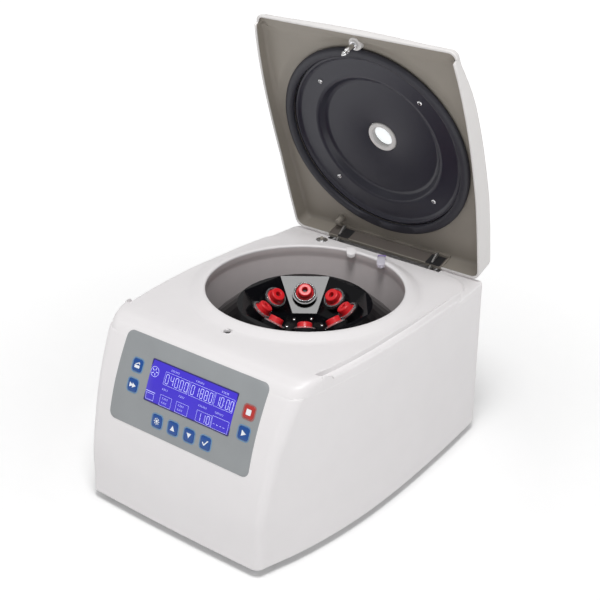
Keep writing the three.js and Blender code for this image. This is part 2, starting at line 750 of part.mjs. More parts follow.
// A block whose top follows the lid's outer surface at a depth. Its columns crowd to the sides.
function lidBlock(inset, depth) {
  const block = new THREE.BoxGeometry(2, 2 * REACH, 80, 20, 17, 1);
  const position = block.attributes.position;
  for (let i = 0; i < position.count; i++) {
    const x = 150 * Math.sin((position.getX(i) * Math.PI) / 2);
    position.setX(i, x);
    if (position.getZ(i) > 0) position.setZ(i, lidTop(x, position.getY(i)) - depth);
  }
  const plan = bulgingPlan(
    LID.front + inset,
    LID.rear - inset,
    LID.inset + inset,
    LID.frontRadius - inset,
    LID.rearRadius - inset,
  );
  return solid(block).intersect(solid(upright(plan, -30, 50)));
}

function makeLidShell() {
  const belowRim = across([
    [-REACH, -60],
    [-REACH, LID_RIM.frontZ],
    [LID_RIM.skirtStart - 0.5, LID_RIM.frontZ],
    [LID_RIM.skirtStart, LID_RIM.skirtZ],
    [DECK.slopeStart, LID_RIM.skirtZ],
    [LID.rear - 8, LID_RIM.rearZ + 0.6],
    [REACH, LID_RIM.rearZ],
    [REACH, -60],
  ]);
  const notches = [-HINGE.armX, HINGE.armX].map((x) =>
    box(x - LID_NOTCH.halfWidth, x + LID_NOTCH.halfWidth, LID.rear - 12, LID.rear + 5, -30, LID_NOTCH.top),
  );
  return cut(lidBlock(0, 0), lidBlock(WALL, WALL + 0.2), belowRim, ...notches, rod(20, 0, 60));
}
add(lid, "lid_shell", makeLidShell(), lidWhite);

// The flat inner panel, with the bosses for the striker and for the lid switch.
function makeLiner() {
  const { z, thickness, hole } = LINER;
  const plate = lidBlock(WALL + GAP, WALL + 0.2 + GAP).intersect(box(-REACH, REACH, -REACH, REACH, z, z + thickness));
  return cut(
    join(
      plate,
      rod(7, 1.2, z + 0.5, 20).translate([0, STRIKER.y, 0]),
      rod(3.8, LID_SWITCH.top + 0.4, z + 0.5, 16).translate([LID_SWITCH.x, LID_SWITCH.y, 0]),
    ),
    rod(hole, 0, 20, 48),
    rod(STRIKER.radius + GAP, -10, 20, 20).translate([0, STRIKER.y, 0]),
  );
}
add(lid, "lid_liner", makeLiner(), linerWhite);

const seal = turned(
  [
    [118, 3],
    [120.5, 1.2],
    [124, 0.6],
    [127.5, 1.6],
    [130.1, 4.6],
    [129, 7.7],
    [118, 7.7],
  ],
  48,
);
add(lid, "lid_seal", seal, discSlate);

// The dished disc: a flat ring for its screws, a step, and a floor round the sight hole.
const disc = turned(
  [
    [19.7, 22],
    [77, 20.5],
    [87.5, 11.4],
    [111, 11.4],
    [115, 7.9],
    [117.7, 7.9],
    [117.7, 10],
    [113, 13.4],
    [89, 13.4],
    [78.5, 22.5],
    [19.7, 24],
  ],
  48,
);
add(lid, "lid_disc", disc, discSlate);

const viewportRing = turned([
  [12, 20.5],
  [19.2, 20.5],
  [19.2, 31.5],
  [15.4, 31.5],
  [15.4, 27],
  [12, 27],
]);
add(lid, "viewport_ring", viewportRing, linerWhite);
add(lid, "viewport_glass", rod(15, 27 + GAP, 30.5, 28), glassClear);

const striker = join(
  turned(
    [
      [0, STRIKER.tip],
      [1.2, STRIKER.tip + 0.6],
      [STRIKER.radius, STRIKER.neckBottom],
      [STRIKER.neck, STRIKER.neckBottom],
      [STRIKER.neck, STRIKER.neckTop],
      [STRIKER.radius, STRIKER.neckTop],
      [STRIKER.radius, 10],
      [0, 10],
    ],
    20,
  ),
  rod(6.5, -4, 1.2 - GAP, 6),
).translate([0, STRIKER.y, 0]);
add(lid, "striker_pin", striker, chrome);

export default centrifuge;
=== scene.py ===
import math

import bmesh
import bpy
import numpy as np
from mathutils import Matrix, Vector
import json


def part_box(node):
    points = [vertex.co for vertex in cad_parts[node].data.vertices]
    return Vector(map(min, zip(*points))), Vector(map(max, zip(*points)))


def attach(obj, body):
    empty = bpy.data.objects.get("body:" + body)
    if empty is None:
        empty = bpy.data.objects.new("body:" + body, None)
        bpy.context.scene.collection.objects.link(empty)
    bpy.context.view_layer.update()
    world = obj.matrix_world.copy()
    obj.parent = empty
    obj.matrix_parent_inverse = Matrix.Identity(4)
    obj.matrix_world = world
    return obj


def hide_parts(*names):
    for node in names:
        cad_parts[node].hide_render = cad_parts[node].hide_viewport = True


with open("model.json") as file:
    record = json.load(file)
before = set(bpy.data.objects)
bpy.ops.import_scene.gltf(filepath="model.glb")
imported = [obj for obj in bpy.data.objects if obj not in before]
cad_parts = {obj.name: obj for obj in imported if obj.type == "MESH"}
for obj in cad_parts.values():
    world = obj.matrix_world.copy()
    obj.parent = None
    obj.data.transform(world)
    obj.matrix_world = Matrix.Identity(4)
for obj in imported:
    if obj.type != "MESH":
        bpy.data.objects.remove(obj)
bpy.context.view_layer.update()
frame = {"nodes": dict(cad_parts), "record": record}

# ---- Frames: millimetres in the machine's own frame, from the spin axis at the rim ------------------
shaft_low, shaft_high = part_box("motor_shaft")
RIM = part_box("housing")[1].z
AXIS_Y = (shaft_low.y + shaft_high.y) / 2
MACHINE = Matrix.Translation((0, AXIS_Y, RIM)) @ Matrix.Scale(0.001, 4)
# The lid is drawn shut, in the same coordinates, and stands open at rest.
HINGE_Y, HINGE_Z = 157.2, -22
LID_ANGLE = math.radians(71.35)
HINGE = Matrix.Translation((0, HINGE_Y, HINGE_Z))
LID = MACHINE @ HINGE @ Matrix.Rotation(-LID_ANGLE, 4, "X") @ HINGE.inverted()
# The striker and its hole in the deck, and the lid's switch with the boss that comes down on it.
LOCK_PLACE = (0, -137.7)
SWITCH_PLACE = (-75.7, 134.5)
TUBES = 8
TUBE_PHASE, TUBE_TILT = math.radians(-7.73), math.radians(40)
SEAT_R, SEAT_Z, SEAT_DEPTH = 53.5, -38, 15


def seat(index):
    """The frame of a tube, with its origin at the middle of the cap's top."""
    r = SEAT_R - SEAT_DEPTH * math.sin(TUBE_TILT)
    z = SEAT_Z + SEAT_DEPTH * math.cos(TUBE_TILT)
    turn = Matrix.Rotation(TUBE_PHASE + index * 2 * math.pi / TUBES, 4, "Z")
    return MACHINE @ turn @ Matrix.Translation((r, 0, z)) @ Matrix.Rotation(-TUBE_TILT, 4, "Y")


# ---- Materials ------------------------------------------------------------------------------------
MOTTLE_SIZE, GLOSS_SIZE, GRAIN_DEPTH = 0.035, 0.012, 0.0004
GLOSS_SPREAD = 0.12


def material(name, color, roughness, metallic=0.0, mottle=0.03, grain=0.02, grain_size=0.0006, **sockets):
    """Moulded or painted: a faint mottle in colour and gloss, and a fine grain in the surface."""
    mat = bpy.data.materials.new(name)
    mat.use_nodes = True
    nodes, links = mat.node_tree.nodes, mat.node_tree.links
    shader = nodes["Principled BSDF"]
    place = nodes.new("ShaderNodeTexCoord").outputs["Object"]

    def noise(size, detail=3):
        node = nodes.new("ShaderNodeTexNoise")
        node.inputs["Scale"].default_value = 1 / size
        node.inputs["Detail"].default_value = detail
        links.new(place, node.inputs["Vector"])
        return node.outputs["Fac"]

    tint = nodes.new("ShaderNodeValToRGB")
    tint.color_ramp.elements[0].position = 0.3
    tint.color_ramp.elements[1].position = 0.7
    tint.color_ramp.elements[0].color = (*[c * (1 - mottle) for c in color], 1)
    tint.color_ramp.elements[1].color = (*[min(1, c * (1 + mottle)) for c in color], 1)
    links.new(noise(MOTTLE_SIZE), tint.inputs["Fac"])
    links.new(tint.outputs["Color"], shader.inputs["Base Color"])
    gloss = nodes.new("ShaderNodeMapRange")
    gloss.inputs["To Min"].default_value = roughness * (1 - GLOSS_SPREAD)
    gloss.inputs["To Max"].default_value = min(1, roughness * (1 + GLOSS_SPREAD))
    links.new(noise(GLOSS_SIZE), gloss.inputs["Value"])
    links.new(gloss.outputs["Result"], shader.inputs["Roughness"])
    if grain:
        bump = nodes.new("ShaderNodeBump")
        bump.inputs["Strength"].default_value = grain
        bump.inputs["Distance"].default_value = GRAIN_DEPTH
        links.new(noise(grain_size, 2), bump.inputs["Height"])
        links.new(bump.outputs["Normal"], shader.inputs["Normal"])
    shader.inputs["Metallic"].default_value = metallic
    for socket, value in sockets.items():
        shader.inputs[socket.replace("_", " ")].default_value = value
    return mat


def lit_up(mat, color, strength):
    """Let a material shine a little by itself."""
    shader = mat.node_tree.nodes["Principled BSDF"]
    shader.inputs["Emission Color"].default_value = (*color, 1)
    shader.inputs["Emission Strength"].default_value = strength


CASING = material("casing_white", (0.82, 0.797, 0.803), 0.42, mottle=0.01, grain=0.1)
LID_WHITE = material("lid_white", (0.74, 0.72, 0.71), 0.45, mottle=0.015, grain=0.1)
# The lid's inner panel: its own warm grey, made darker with painted shade for the shadow inside the open
# lid.
SHADED_LINER = material("liner_painted_shade", (0.30, 0.272, 0.235), 0.5, grain=0.12)
# Painted shade: the dim brown-grey of the shaded back of the hinge recess.
SLOT_SHADE = material("slot_painted_shade", (0.13, 0.112, 0.10), 0.6, grain=0.1)
BOWL = material("bowl_grey", (0.74, 0.68, 0.68), 0.42, grain=0.06)
PANEL = material("panel_grey", (0.30, 0.315, 0.325), 0.5, grain=0.15, grain_size=0.0004)
BLUE_LCD = material("lcd_blue", (0.04, 0.022, 0.45), 0.35, mottle=0.06, grain=0)
lit_up(BLUE_LCD, (0.09, 0.05, 0.95), 0.2)
LIT = material("lcd_lit", (0.60, 0.62, 1.0), 0.4, grain=0)
lit_up(LIT, (0.55, 0.58, 1.0), 0.35)
FRAME_DARK = material("display_frame", (0.03, 0.02, 0.16), 0.4, grain=0)
KEY_BLUE = material("key_blue", (0.006, 0.07, 0.30), 0.4, grain=0.05)
KEY_HALO = material("key_halo", (0.13, 0.30, 0.52), 0.4, grain=0.05)
KEY_RED = material("key_red", (0.48, 0.035, 0.03), 0.35, grain=0.05)
RED_HALO = material("red_halo", (0.42, 0.14, 0.13), 0.4, grain=0.05)
ICON = material("icon_white", (0.85, 0.88, 0.92), 0.4, grain=0)
CAP_RED = material("cap_red", (0.72, 0.015, 0.022), 0.33, grain=0.05)
TUBE = material("tube_clear", (0.80, 0.82, 0.84), 0.12, grain=0, Transmission_Weight=0.85, IOR=1.45)
ROTOR = material("rotor_black", (0.003, 0.003, 0.004), 0.17, grain=0, Specular_IOR_Level=0.26)
DISC = material("disc_slate", (0.0155, 0.015, 0.028), 0.36, grain=0.08, Coat_Weight=0.2, Coat_Roughness=0.25)
SEAL = material("seal_rubber", (0.024, 0.0235, 0.033), 0.5, grain=0.15)
BLACK = material("black_plastic", (0.02, 0.02, 0.022), 0.45, grain=0.15)
RUBBER = material("rubber", (0.018, 0.018, 0.018), 0.75, grain=0.25)
STEEL = material("brushed_steel", (0.62, 0.62, 0.63), 0.32, 1.0, grain=0.1, grain_size=0.0003)
STEEL_DULL = material("dull_steel", (0.34, 0.33, 0.32), 0.5, 0.6, grain=0.1)
ALLOY = material("cast_alloy", (0.55, 0.56, 0.58), 0.45, 1.0, grain=0.3)
CHROME = material("chrome", (0.82, 0.82, 0.83), 0.12, 1.0, mottle=0.01, grain=0)
BOARD = material("board_green", (0.02, 0.13, 0.06), 0.55, grain=0.1)
GLASS = material("window_glass", (0.92, 0.95, 0.96), 0.05, grain=0, Transmission_Weight=0.95, IOR=1.45)
CLIP = material("clip_clear", (0.80, 0.77, 0.86), 0.2, grain=0, Transmission_Weight=0.35, IOR=1.45)
CLIP_TINT = material("clip_violet", (0.30, 0.22, 0.50), 0.3, grain=0)

CAD_FINISH = {
    "casing": CASING, "lid": LID_WHITE, "liner": SHADED_LINER, "bowl": BOWL, "panel": PANEL, "display": BLUE_LCD,
    "key_blue": KEY_BLUE, "key_red": KEY_RED, "cap": CAP_RED, "tube": TUBE, "rotor_alloy": ROTOR,
    "disc": DISC, "seal": SEAL, "foot_rubber": RUBBER, "black_plastic": BLACK, "steel": STEEL,
    "alloy": ALLOY, "chrome": CHROME, "board": BOARD, "glass": GLASS,
}
CAD_SHARP, CAD_FLAT = math.radians(28), math.radians(0.6)
for subpart in frame["record"]["subparts"]:
    node = frame["nodes"][subpart["node"]]
    node.data.materials.clear()
    node.data.materials.append(CAD_FINISH[subpart["material_slot"]])
    node.data.shade_smooth()
    node.data.set_sharp_from_angle(angle=CAD_SHARP)
    flat = node.modifiers.new("merge_facets", "DECIMATE")
    flat.decimate_type = "DISSOLVE"
    flat.angle_limit = CAD_FLAT


# ---- Mesh building --------------------------------------------------------------------------------
def piece(name, verts, faces, matrix, body, mat, replaces=(), sharp=32):
    """A mesh in one material that rides on a body and may stand in for CAD nodes."""
    mesh = bpy.data.meshes.new(name)
    placed = np.c_[np.asarray(verts, float).reshape(-1, 3), np.ones(len(verts))] @ np.array(matrix).T
    mesh.from_pydata(placed[:, :3].tolist(), [], faces)
    bm = bmesh.new()
    bm.from_mesh(mesh)
    bmesh.ops.remove_doubles(bm, verts=bm.verts, dist=1e-6)
    bmesh.ops.dissolve_degenerate(bm, edges=bm.edges, dist=1e-7)
    bm.to_mesh(mesh)
    bm.free()
    mesh.shade_smooth()
    mesh.set_sharp_from_angle(angle=math.radians(sharp))
    mesh.materials.append(mat)
    obj = bpy.data.objects.new(name, mesh)
    bpy.context.scene.collection.objects.link(obj)
    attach(obj, body)
    if replaces:
        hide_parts(*replaces)
    return obj


def lattice(points, around=False, down=False):
    """Verts and faces of a grid of points, rows by columns, that may close on itself either way."""
    points = np.asarray(points, float)
    rows, cols = points.shape[:2]
    faces = []
    for i in range(rows if down else rows - 1):
        for j in range(cols if around else cols - 1):
            k, m = (i + 1) % rows, (j + 1) % cols
            faces.append((i * cols + j, i * cols + m, k * cols + m, k * cols + j))
    return points.reshape(-1, 3), faces


def rounded(profile, radius, steps=4, closed=True):
    """The same r, z polygon with its corners rounded off."""
    pts = [np.array(p, float) for p in profile]
    out = []
    for i, p in enumerate(pts):
        if not closed and i in (0, len(pts) - 1):
            out.append(p)
            continue
        a, b = pts[i - 1] - p, pts[(i + 1) % len(pts)] - p
        la, lb = np.linalg.norm(a), np.linalg.norm(b)
        cut = min(radius, la * 0.45, lb * 0.45)
        start, end = p + a / la * cut, p + b / lb * cut
        for t in np.linspace(0, 1, steps):
            out.append((1 - t) ** 2 * start + 2 * t * (1 - t) * p + t**2 * end)
    return out


def lathe(
    name, profile, matrix, body, mat, replaces=(), segments=64, radius=0.0, closed=True, sharp=32, level=None
):
    """A turned piece; level(angle, z) may move its points up or down."""
    prof = rounded(profile, radius, closed=closed) if radius else profile
    angles = np.linspace(0, 2 * math.pi, segments, endpoint=False)
    points = []
    for r, z in prof:
        points.append([(r * math.cos(a), r * math.sin(a), level(a, z) if level else z) for a in angles])
    verts, faces = lattice(points, around=True, down=closed)
    return piece(name, verts, faces, matrix, body, mat, replaces, sharp)


def block(name, low, high, matrix, body, mat):
    """A plain box between two corners."""
    corners = [(x, y, z) for x in (low[0], high[0]) for y in (low[1], high[1]) for z in (low[2], high[2])]
    faces = [(0, 1, 3, 2), (4, 6, 7, 5), (0, 4, 5, 1), (2, 3, 7, 6), (0, 2, 6, 4), (1, 5, 7, 3)]
    return piece(name, corners, faces, matrix, body, mat)


def smooth(t):
    """0 up to t = 0 and 1 from t = 1, with a soft step between."""
    t = np.clip(t, 0, 1)
    return t * t * (3 - 2 * t)


# ---- The outlines of body and lid -----------------------------------------------------------------
TOP_Z, BOTTOM_Z, DECK_EDGE_Z = -20.0, -207.0, -8.0
WIDEST_Y, HALF_WIDTH = -15, 153.3
FRONT_TAPER, REAR_TAPER = (31, 219, 2.3), (8.8, 183, 1.75)


def taper(distance, depth, length, power):
    """How far a side has drawn in, at a distance from its widest place."""
    return depth * (distance / length) ** power


def half_width(y):
    """Half the width of the casing at its foot, widest near the middle."""
    y = np.asarray(y, float)
    front = taper(np.abs(np.minimum(y - WIDEST_Y, 0)), *FRONT_TAPER)
    rear = taper(np.maximum(y - WIDEST_Y, 0), *REAR_TAPER)
    return HALF_WIDTH - front - rear


def draft(z):
    """The casing gets narrower with height, by a fiftieth."""
    return 1 - 0.02 * (np.asarray(z, float) - BOTTOM_Z) / -BOTTOM_Z


def deck_half_width(y):
    return half_width(y) * draft(DECK_EDGE_Z)


def spline(points, count=240):
    """The uniform Catmull-Rom curve through the points."""
    p = np.array([points[0], *points, points[-1]], float)
    out = []
    for t in np.linspace(0, len(points) - 1, count):
        i = min(int(t), len(points) - 2)
        w = t - i
        a, b, c, d = p[i : i + 4]
        v0, v1 = (c - a) / 2, (d - b) / 2
        out.append((2 * b - 2 * c + v0 + v1) * w**3 + (3 * c - 3 * b - 2 * v0 - v1) * w**2 + v0 * w + b)
    return np.array(out)


DECK_FRONT_Y = -157
FRONT = spline(
    [(-238.5, BOTTOM_Z), (-233.4, -150), (-216, -77), (-190, TOP_Z), (-174, -7), (DECK_FRONT_Y, -4.5)]
)
REAR = 171.0


def front_y(z):
    return np.interp(z, FRONT[:, 1], FRONT[:, 0])


def plan_loop(front, rear, half, front_radius, rear_radius, side_y, front_x, rear_x, arc=7):
    """A closed loop of x, y points: along the front, up the right side, along the rear and back."""
    right = []
    turn = np.linspace(0, math.pi / 2, arc)[:-1]
    hw = float(half(front + front_radius))
    for t in turn:
        right.append((hw - front_radius * (1 - math.sin(t)), front + front_radius * (1 - math.cos(t))))
    for t in side_y:
        y = front + front_radius + (rear - rear_radius - front - front_radius) * t
        right.append((float(half(y)), y))
    hw = float(half(rear - rear_radius))
    for t in turn[1:]:
        right.append((hw - rear_radius * (1 - math.cos(t)), rear - rear_radius * (1 - math.sin(t))))
    right.append((hw - rear_radius, rear))
    limit = right[0][0]
    head = [(x * limit if abs(x) <= 1 else math.copysign(abs(x), x), front) for x in front_x]
    back = [(x, rear) for x in rear_x]
    left = [(-x, y) for x, y in reversed(right)]
    return np.array(head + right + back + left)


# ---- Casing ---------------------------------------------------------------------------------------
SIDE_STEPS = np.linspace(0, 1, 34)
FRONT_X = [-96, -80, -64, -48, -32, -16, 0.0, 16, 32, 48, 64, 80, 96]
REAR_X = [120, 105, 70, 35, 0, -35, -70, -105, -120]
CORNER_LOW, CORNER_HIGH, CORNER_REAR = 10.0, 15.0, 12.0
CORNER_FROM_Z, CORNER_RISE = -190, 165
FOOT_BOW, BOW_TOP_Z, BOW_RISE, BOW_HALF = 1.6, -150, 40, 110


def corner_radius(z):
    """The front corners get rounder with height."""
    return CORNER_LOW + (CORNER_HIGH - CORNER_LOW) * smooth((z - CORNER_FROM_Z) / CORNER_RISE)


def casing_loop(z, inset=0.0):
    """The outline of the casing at a height; near the foot the front bows back towards its corners."""
    def half(y):
        return half_width(y) * draft(z) - inset

    loop = plan_loop(
        front_y(z) + inset, REAR - inset, half, corner_radius(z), CORNER_REAR,
        SIDE_STEPS, FRONT_X, REAR_X, arc=9,
    )
    at_front = loop[:, 1] < -200
    bow = FOOT_BOW * smooth((BOW_TOP_Z - z) / BOW_RISE)
    loop[:, 1] += bow * np.where(at_front, (loop[:, 0] / BOW_HALF) ** 2, 0)
    return [(x, y, z) for x, y in loop]


PANEL_Y, PANEL_Z, PANEL_TILT = -204.2, -60.3, 0.4225
PANEL_UP = np.array((math.sin(PANEL_TILT), math.cos(PANEL_TILT)))
PANEL_OUT = np.array((-math.cos(PANEL_TILT), math.sin(PANEL_TILT)))
PANEL_HOLE_X, PANEL_HOLE_V = 96, 47.5
REAR_HOLE_X, REAR_HOLE_LOW, REAR_HOLE_HIGH = 105, -186, -112


def make_walls():
    """The upright walls, open behind the panel and at the back, and turned in at the foot."""
    heights = [TOP_Z, *np.arange(-22, REAR_HOLE_HIGH + 2, -2.0), REAR_HOLE_HIGH]
    heights += [*np.arange(-120, REAR_HOLE_LOW, -8.0), REAR_HOLE_LOW, -194, -200, -204, -205.6]
    loops = [casing_loop(TOP_Z + 0.25, 0.3)] + [casing_loop(z) for z in heights]
    for z, inset in ((-206.6, 0.4), (BOTTOM_Z, 1.4), (BOTTOM_Z, 3.4), (-200, 3.4)):
        loops.append(casing_loop(z, inset))
    verts, faces = lattice(loops, around=True)
    kept = []
    for face in faces:
        x, y, z = verts[list(face)].mean(axis=0)
        v = (y - PANEL_Y) * PANEL_UP[0] + (z - PANEL_Z) * PANEL_UP[1]
        in_panel = y < 0 and abs(x) < PANEL_HOLE_X and abs(v) < PANEL_HOLE_V
        in_rear = y > REAR - 1 and abs(x) < REAR_HOLE_X and REAR_HOLE_LOW < z < REAR_HOLE_HIGH
        if not (in_panel or in_rear):
            kept.append(face)
    return verts, kept


def side_limit(y):
    """Half the width of the casing's top at y, its corners seen from above."""
    limit = deck_half_width(y)
    for edge, radius in ((front_y(TOP_Z), CORNER_HIGH), (REAR, CORNER_REAR)):
        into = abs(y - edge)
        if into < radius:
            base = deck_half_width(edge + math.copysign(radius, -edge))
            limit = base - radius + math.sqrt(radius**2 - (radius - into) ** 2)
    return float(limit)


# Heights along y: the middle of the deck, its edge inside the ledge, and the ledge under the lid's sides.
DECK_MIDDLE = ([DECK_FRONT_Y, 0, 60, 143], [-4.5, -4.5, -5.5, -8.5])
DECK_EDGE = ([DECK_FRONT_Y, -17, 25, 70, 120, 143], [-4.6, -5, -8.2, -10, -12.6, -13])
LEDGE = ([-153, -29, 12, 56, 105, 171], [-10, -9.5, -10.7, -11.2, -12.9, -15.5])
LEDGE_FRONT_Y, LEDGE_WIDTH = -153.4, 10.0
DECK_FLAT_X, DECK_MARGIN = 100, 8
SHELF_Y, SHELF_Z, SHELF_BLEND = 144.8, -15.5, 0.8
SHELF_BEND_X, SHELF_BEND = 121, 14
RISE_R, RISE_WIDTH = 138, 19
EDGE_FRONT, EDGE_SIDE, EDGE_REAR = 5.0, 2.2, 4.0


def deck_height(x, y):
    """Height of the casing's top, without the rounding of its outer edge."""
    x, y = abs(x), float(y)
    limit = deck_half_width(y)
    over = x - (limit - CORNER_HIGH)
    back = CORNER_HIGH - math.sqrt(max(0, CORNER_HIGH**2 - over**2)) if over > 0 else 0
    if y - back < DECK_FRONT_Y:
        return float(np.interp(y - back, FRONT[:, 0], FRONT[:, 1]))
    middle, edge, ledge = (np.interp(y, *line) for line in (DECK_MIDDLE, DECK_EDGE, LEDGE))
    z = middle + (edge - middle) * smooth((x - DECK_FLAT_X) / (limit - DECK_FLAT_X - DECK_MARGIN))
    z = z * (1 - smooth((RISE_R - math.hypot(x, y)) / RISE_WIDTH))
    on_ledge = smooth(LEDGE_WIDTH - (limit - x)) * smooth(y - LEDGE_FRONT_Y)
    z = z + (min(ledge, z) - z) * on_ledge
    shelf_y = SHELF_Y - max(0, x - SHELF_BEND_X) ** 2 / SHELF_BEND
    on_shelf = smooth((y - shelf_y) / SHELF_BLEND)
    return float(z + (min(SHELF_Z, z) - z) * on_shelf)


def top_height(x, y):
    """Height of the casing's top, with its outer edge rounded."""
    z = deck_height(x, y)
    edge = EDGE_FRONT if y < LEDGE[0][0] else EDGE_SIDE
    for inboard, radius in ((side_limit(y) - abs(x), edge), (REAR - y, EDGE_REAR)):
        if inboard < radius:
            z -= radius - math.sqrt(max(0, radius**2 - (radius - max(0, inboard)) ** 2))
    return z


LOCK_HALF = 4.4
SLOT_HALF, SLOT_FRONT, SLOT_REAR = 84, 147, 168
MOUTH_R, LIP_R = 127, 133
# The top laps over the walls by this much, out and down.
SEAM, LAP = 0.02, 0.3


def make_top():
    """The deck and the top of the front, with holes for the chamber, the lock and the hinge."""
    lock_y = LOCK_PLACE[1]
    inner = [0, LOCK_HALF / 2, LOCK_HALF, *np.arange(8, SLOT_HALF + 1, 4.0)]
    outboard = [26, 22, 18, 15, 12.5, 11, 10.2, 9.9, 9.5, 9.1, 8.8, 8, 6, 4, 2.6, 1.6, 0.9, 0.4, 0.1, 0]
    rows = [*np.linspace(-190, -154, 30), -153.5, -153.1, -152.7, -152.3, -151, -148, -145]
    rows += [lock_y - LOCK_HALF, lock_y, lock_y + LOCK_HALF, *np.arange(-131, 136, 2.0)]
    rows += [136.5, 138, 140, 142, 143.5, 144.5, 144.9, 145.2, 145.5, 145.8, SLOT_FRONT]
    rows += [152, 157, 162, 165, 167, SLOT_REAR, 169, 169.8, 170.4, 170.8, REAR]
    points = []
    for y in rows:
        limit = side_limit(y)
        scale = min(1, (limit - 90) / outboard[0])
        outer = [limit - d * scale for d in outboard]
        between = [SLOT_HALF + (outer[0] - SLOT_HALF) * t for t in np.linspace(0, 1, 10)[1:-1]]
        half = inner + between + outer
        xs = [-x for x in reversed(half[1:])] + half
        row = [(x, y, max(TOP_Z, top_height(x, y))) for x in xs]
        edge = limit * draft(TOP_Z) / draft(DECK_EDGE_Z) + SEAM
        points.append([(-edge, y, TOP_Z - LAP), *row, (edge, y, TOP_Z - LAP)])
    points.append([(x, y + SEAM, TOP_Z - LAP) for x, y, _ in points[-1]])
    verts, faces = lattice(points)
    kept = []
    for face in faces:
        corners = verts[list(face)]
        x, y, _ = corners.mean(axis=0)
        in_mouth = np.hypot(corners[:, 0], corners[:, 1]).min() < MOUTH_R
        in_lock = abs(x) < LOCK_HALF and abs(y - lock_y) < LOCK_HALF
        in_slot = abs(x) < SLOT_HALF and SLOT_FRONT < y < SLOT_REAR
        if not (in_mouth or in_lock or in_slot):
            kept.append(face)
    return verts, kept


def make_lip():
    """The raised lip round the chamber, from just under the deck to over the mouth's edge."""
    turn = [(math.cos(a), math.sin(a)) for a in np.linspace(0, 2 * math.pi, 160, endpoint=False)]
    loops = []
    for r in (LIP_R, 132.4, 131.2, 129, 126, 123, 120.5, 119):
        lift = -0.25 if r == LIP_R else 0.05
        loops.append([(r * c, r * s, deck_height(r * c, r * s) + lift) for c, s in turn])
    for r, z in ((117.4, -0.1), (116.4, -0.35), (115.7, -0.9), (115.3, -1.8), (115.4, -3), (118.4, -4)):
        loops.append([(r * c, r * s, z) for c, s in turn])
    return lattice(loops, around=True)


casing_verts, casing_faces = [], []
for verts, faces in (make_walls(), make_top(), make_lip()):
    base = len(casing_verts)
    casing_verts += list(map(tuple, verts))
    casing_faces += [tuple(base + i for i in face) for face in faces]
piece("casing_shell", casing_verts, casing_faces, MACHINE, "casing", CASING, ["housing"], sharp=50)

lathe(
    "lock_hole_ring",
    [(4.3, -14), (7.0, -5.4), (7.0, -4.4), (6.4, -4.1), (5.2, -4.2), (4.3, -5.4)],
    MACHINE @ Matrix.Translation((*LOCK_PLACE, 0)), "casing", CASING, segments=40, radius=0.4,
)
lathe(
    "chamber_liner",
    [(30, -120), (100, -120), (109, -118.5), (115, -113), (117.3, -104), (117.3, -15), (115.9, -8),
     (115.4, -1.9), (116.6, -1.9), (118.6, -15), (118.6, -104), (116, -114), (110, -120), (100, -121.3),
     (30, -121.3)],
    MACHINE, "casing", BOWL, ["chamber_bowl"], segments=128, radius=2,
)

# ---- Lid ------------------------------------------------------------------------------------------
LID_FRONT, LID_REAR, LID_MARGIN, LID_CROWN = -155.0, 151.0, 8.3, 8
# Heights along y: where the lid's top meets its sides, and the rim it comes down to.
SHOULDER = ([LID_FRONT, -133, -97, -76, -29, 48, 92, LID_REAR], [1, 8.5, 16, 18.5, 21, 24, 22.5, 19])
LID_RIM = ([LID_FRONT, -145.5, -144.9, 40, 143, LID_REAR], [-3.5, -3.5, -8.8, -8.8, -13.6, -14.2])
LID_SIDES = sorted([*np.linspace(0, 1, 30), 0.0035, 0.0055])
LID_CORNERS = (9, 12)
VIEWPORT_R, DISC_HOLE_R = 20.2, 119.5


def lid_top(x, y):
    """Height of the lid's outside, which is crowned across."""
    side = float(half_width(y)) - LID_MARGIN
    return float(np.interp(y, *SHOULDER)) + LID_CROWN * max(0, 1 - (x / side) ** 2)


def lid_rim(y):
    return float(np.interp(y, *LID_RIM))


def lid_loop(inset):
    """The lid's outline, moved in by the inset; its corners tighten by half as much."""
    front_radius, rear_radius = (max(2, radius - inset * 0.5) for radius in LID_CORNERS)
    return plan_loop(
        LID_FRONT + inset, LID_REAR - inset, lambda y: half_width(y) - LID_MARGIN - inset,
        front_radius, rear_radius, LID_SIDES, np.linspace(-0.9, 0.9, 17), np.linspace(110, -110, 23), arc=8,
    )


def edge_radius(x, y):
    """The lid's top edge is rounder along its sides than at its front and rear."""
    high = lid_top(x, y) - lid_rim(y)
    return min(9.0, 0.7 * high) if abs(x) > 100 else min(6.0, 0.6 * high)


def gathered(ring, circle, shares, height):
    """Loops from a ring in to a circle round the axis; height(x, y, share) gives their z."""
    loops = []
    for share in shares:
        loop = []
        for x, y, _ in ring:
            a = math.atan2(y, x)
            px, py = x + (circle * math.cos(a) - x) * share, y + (circle * math.sin(a) - y) * share
            loop.append((px, py, height(px, py, share)))
        loops.append(loop)
    return loops


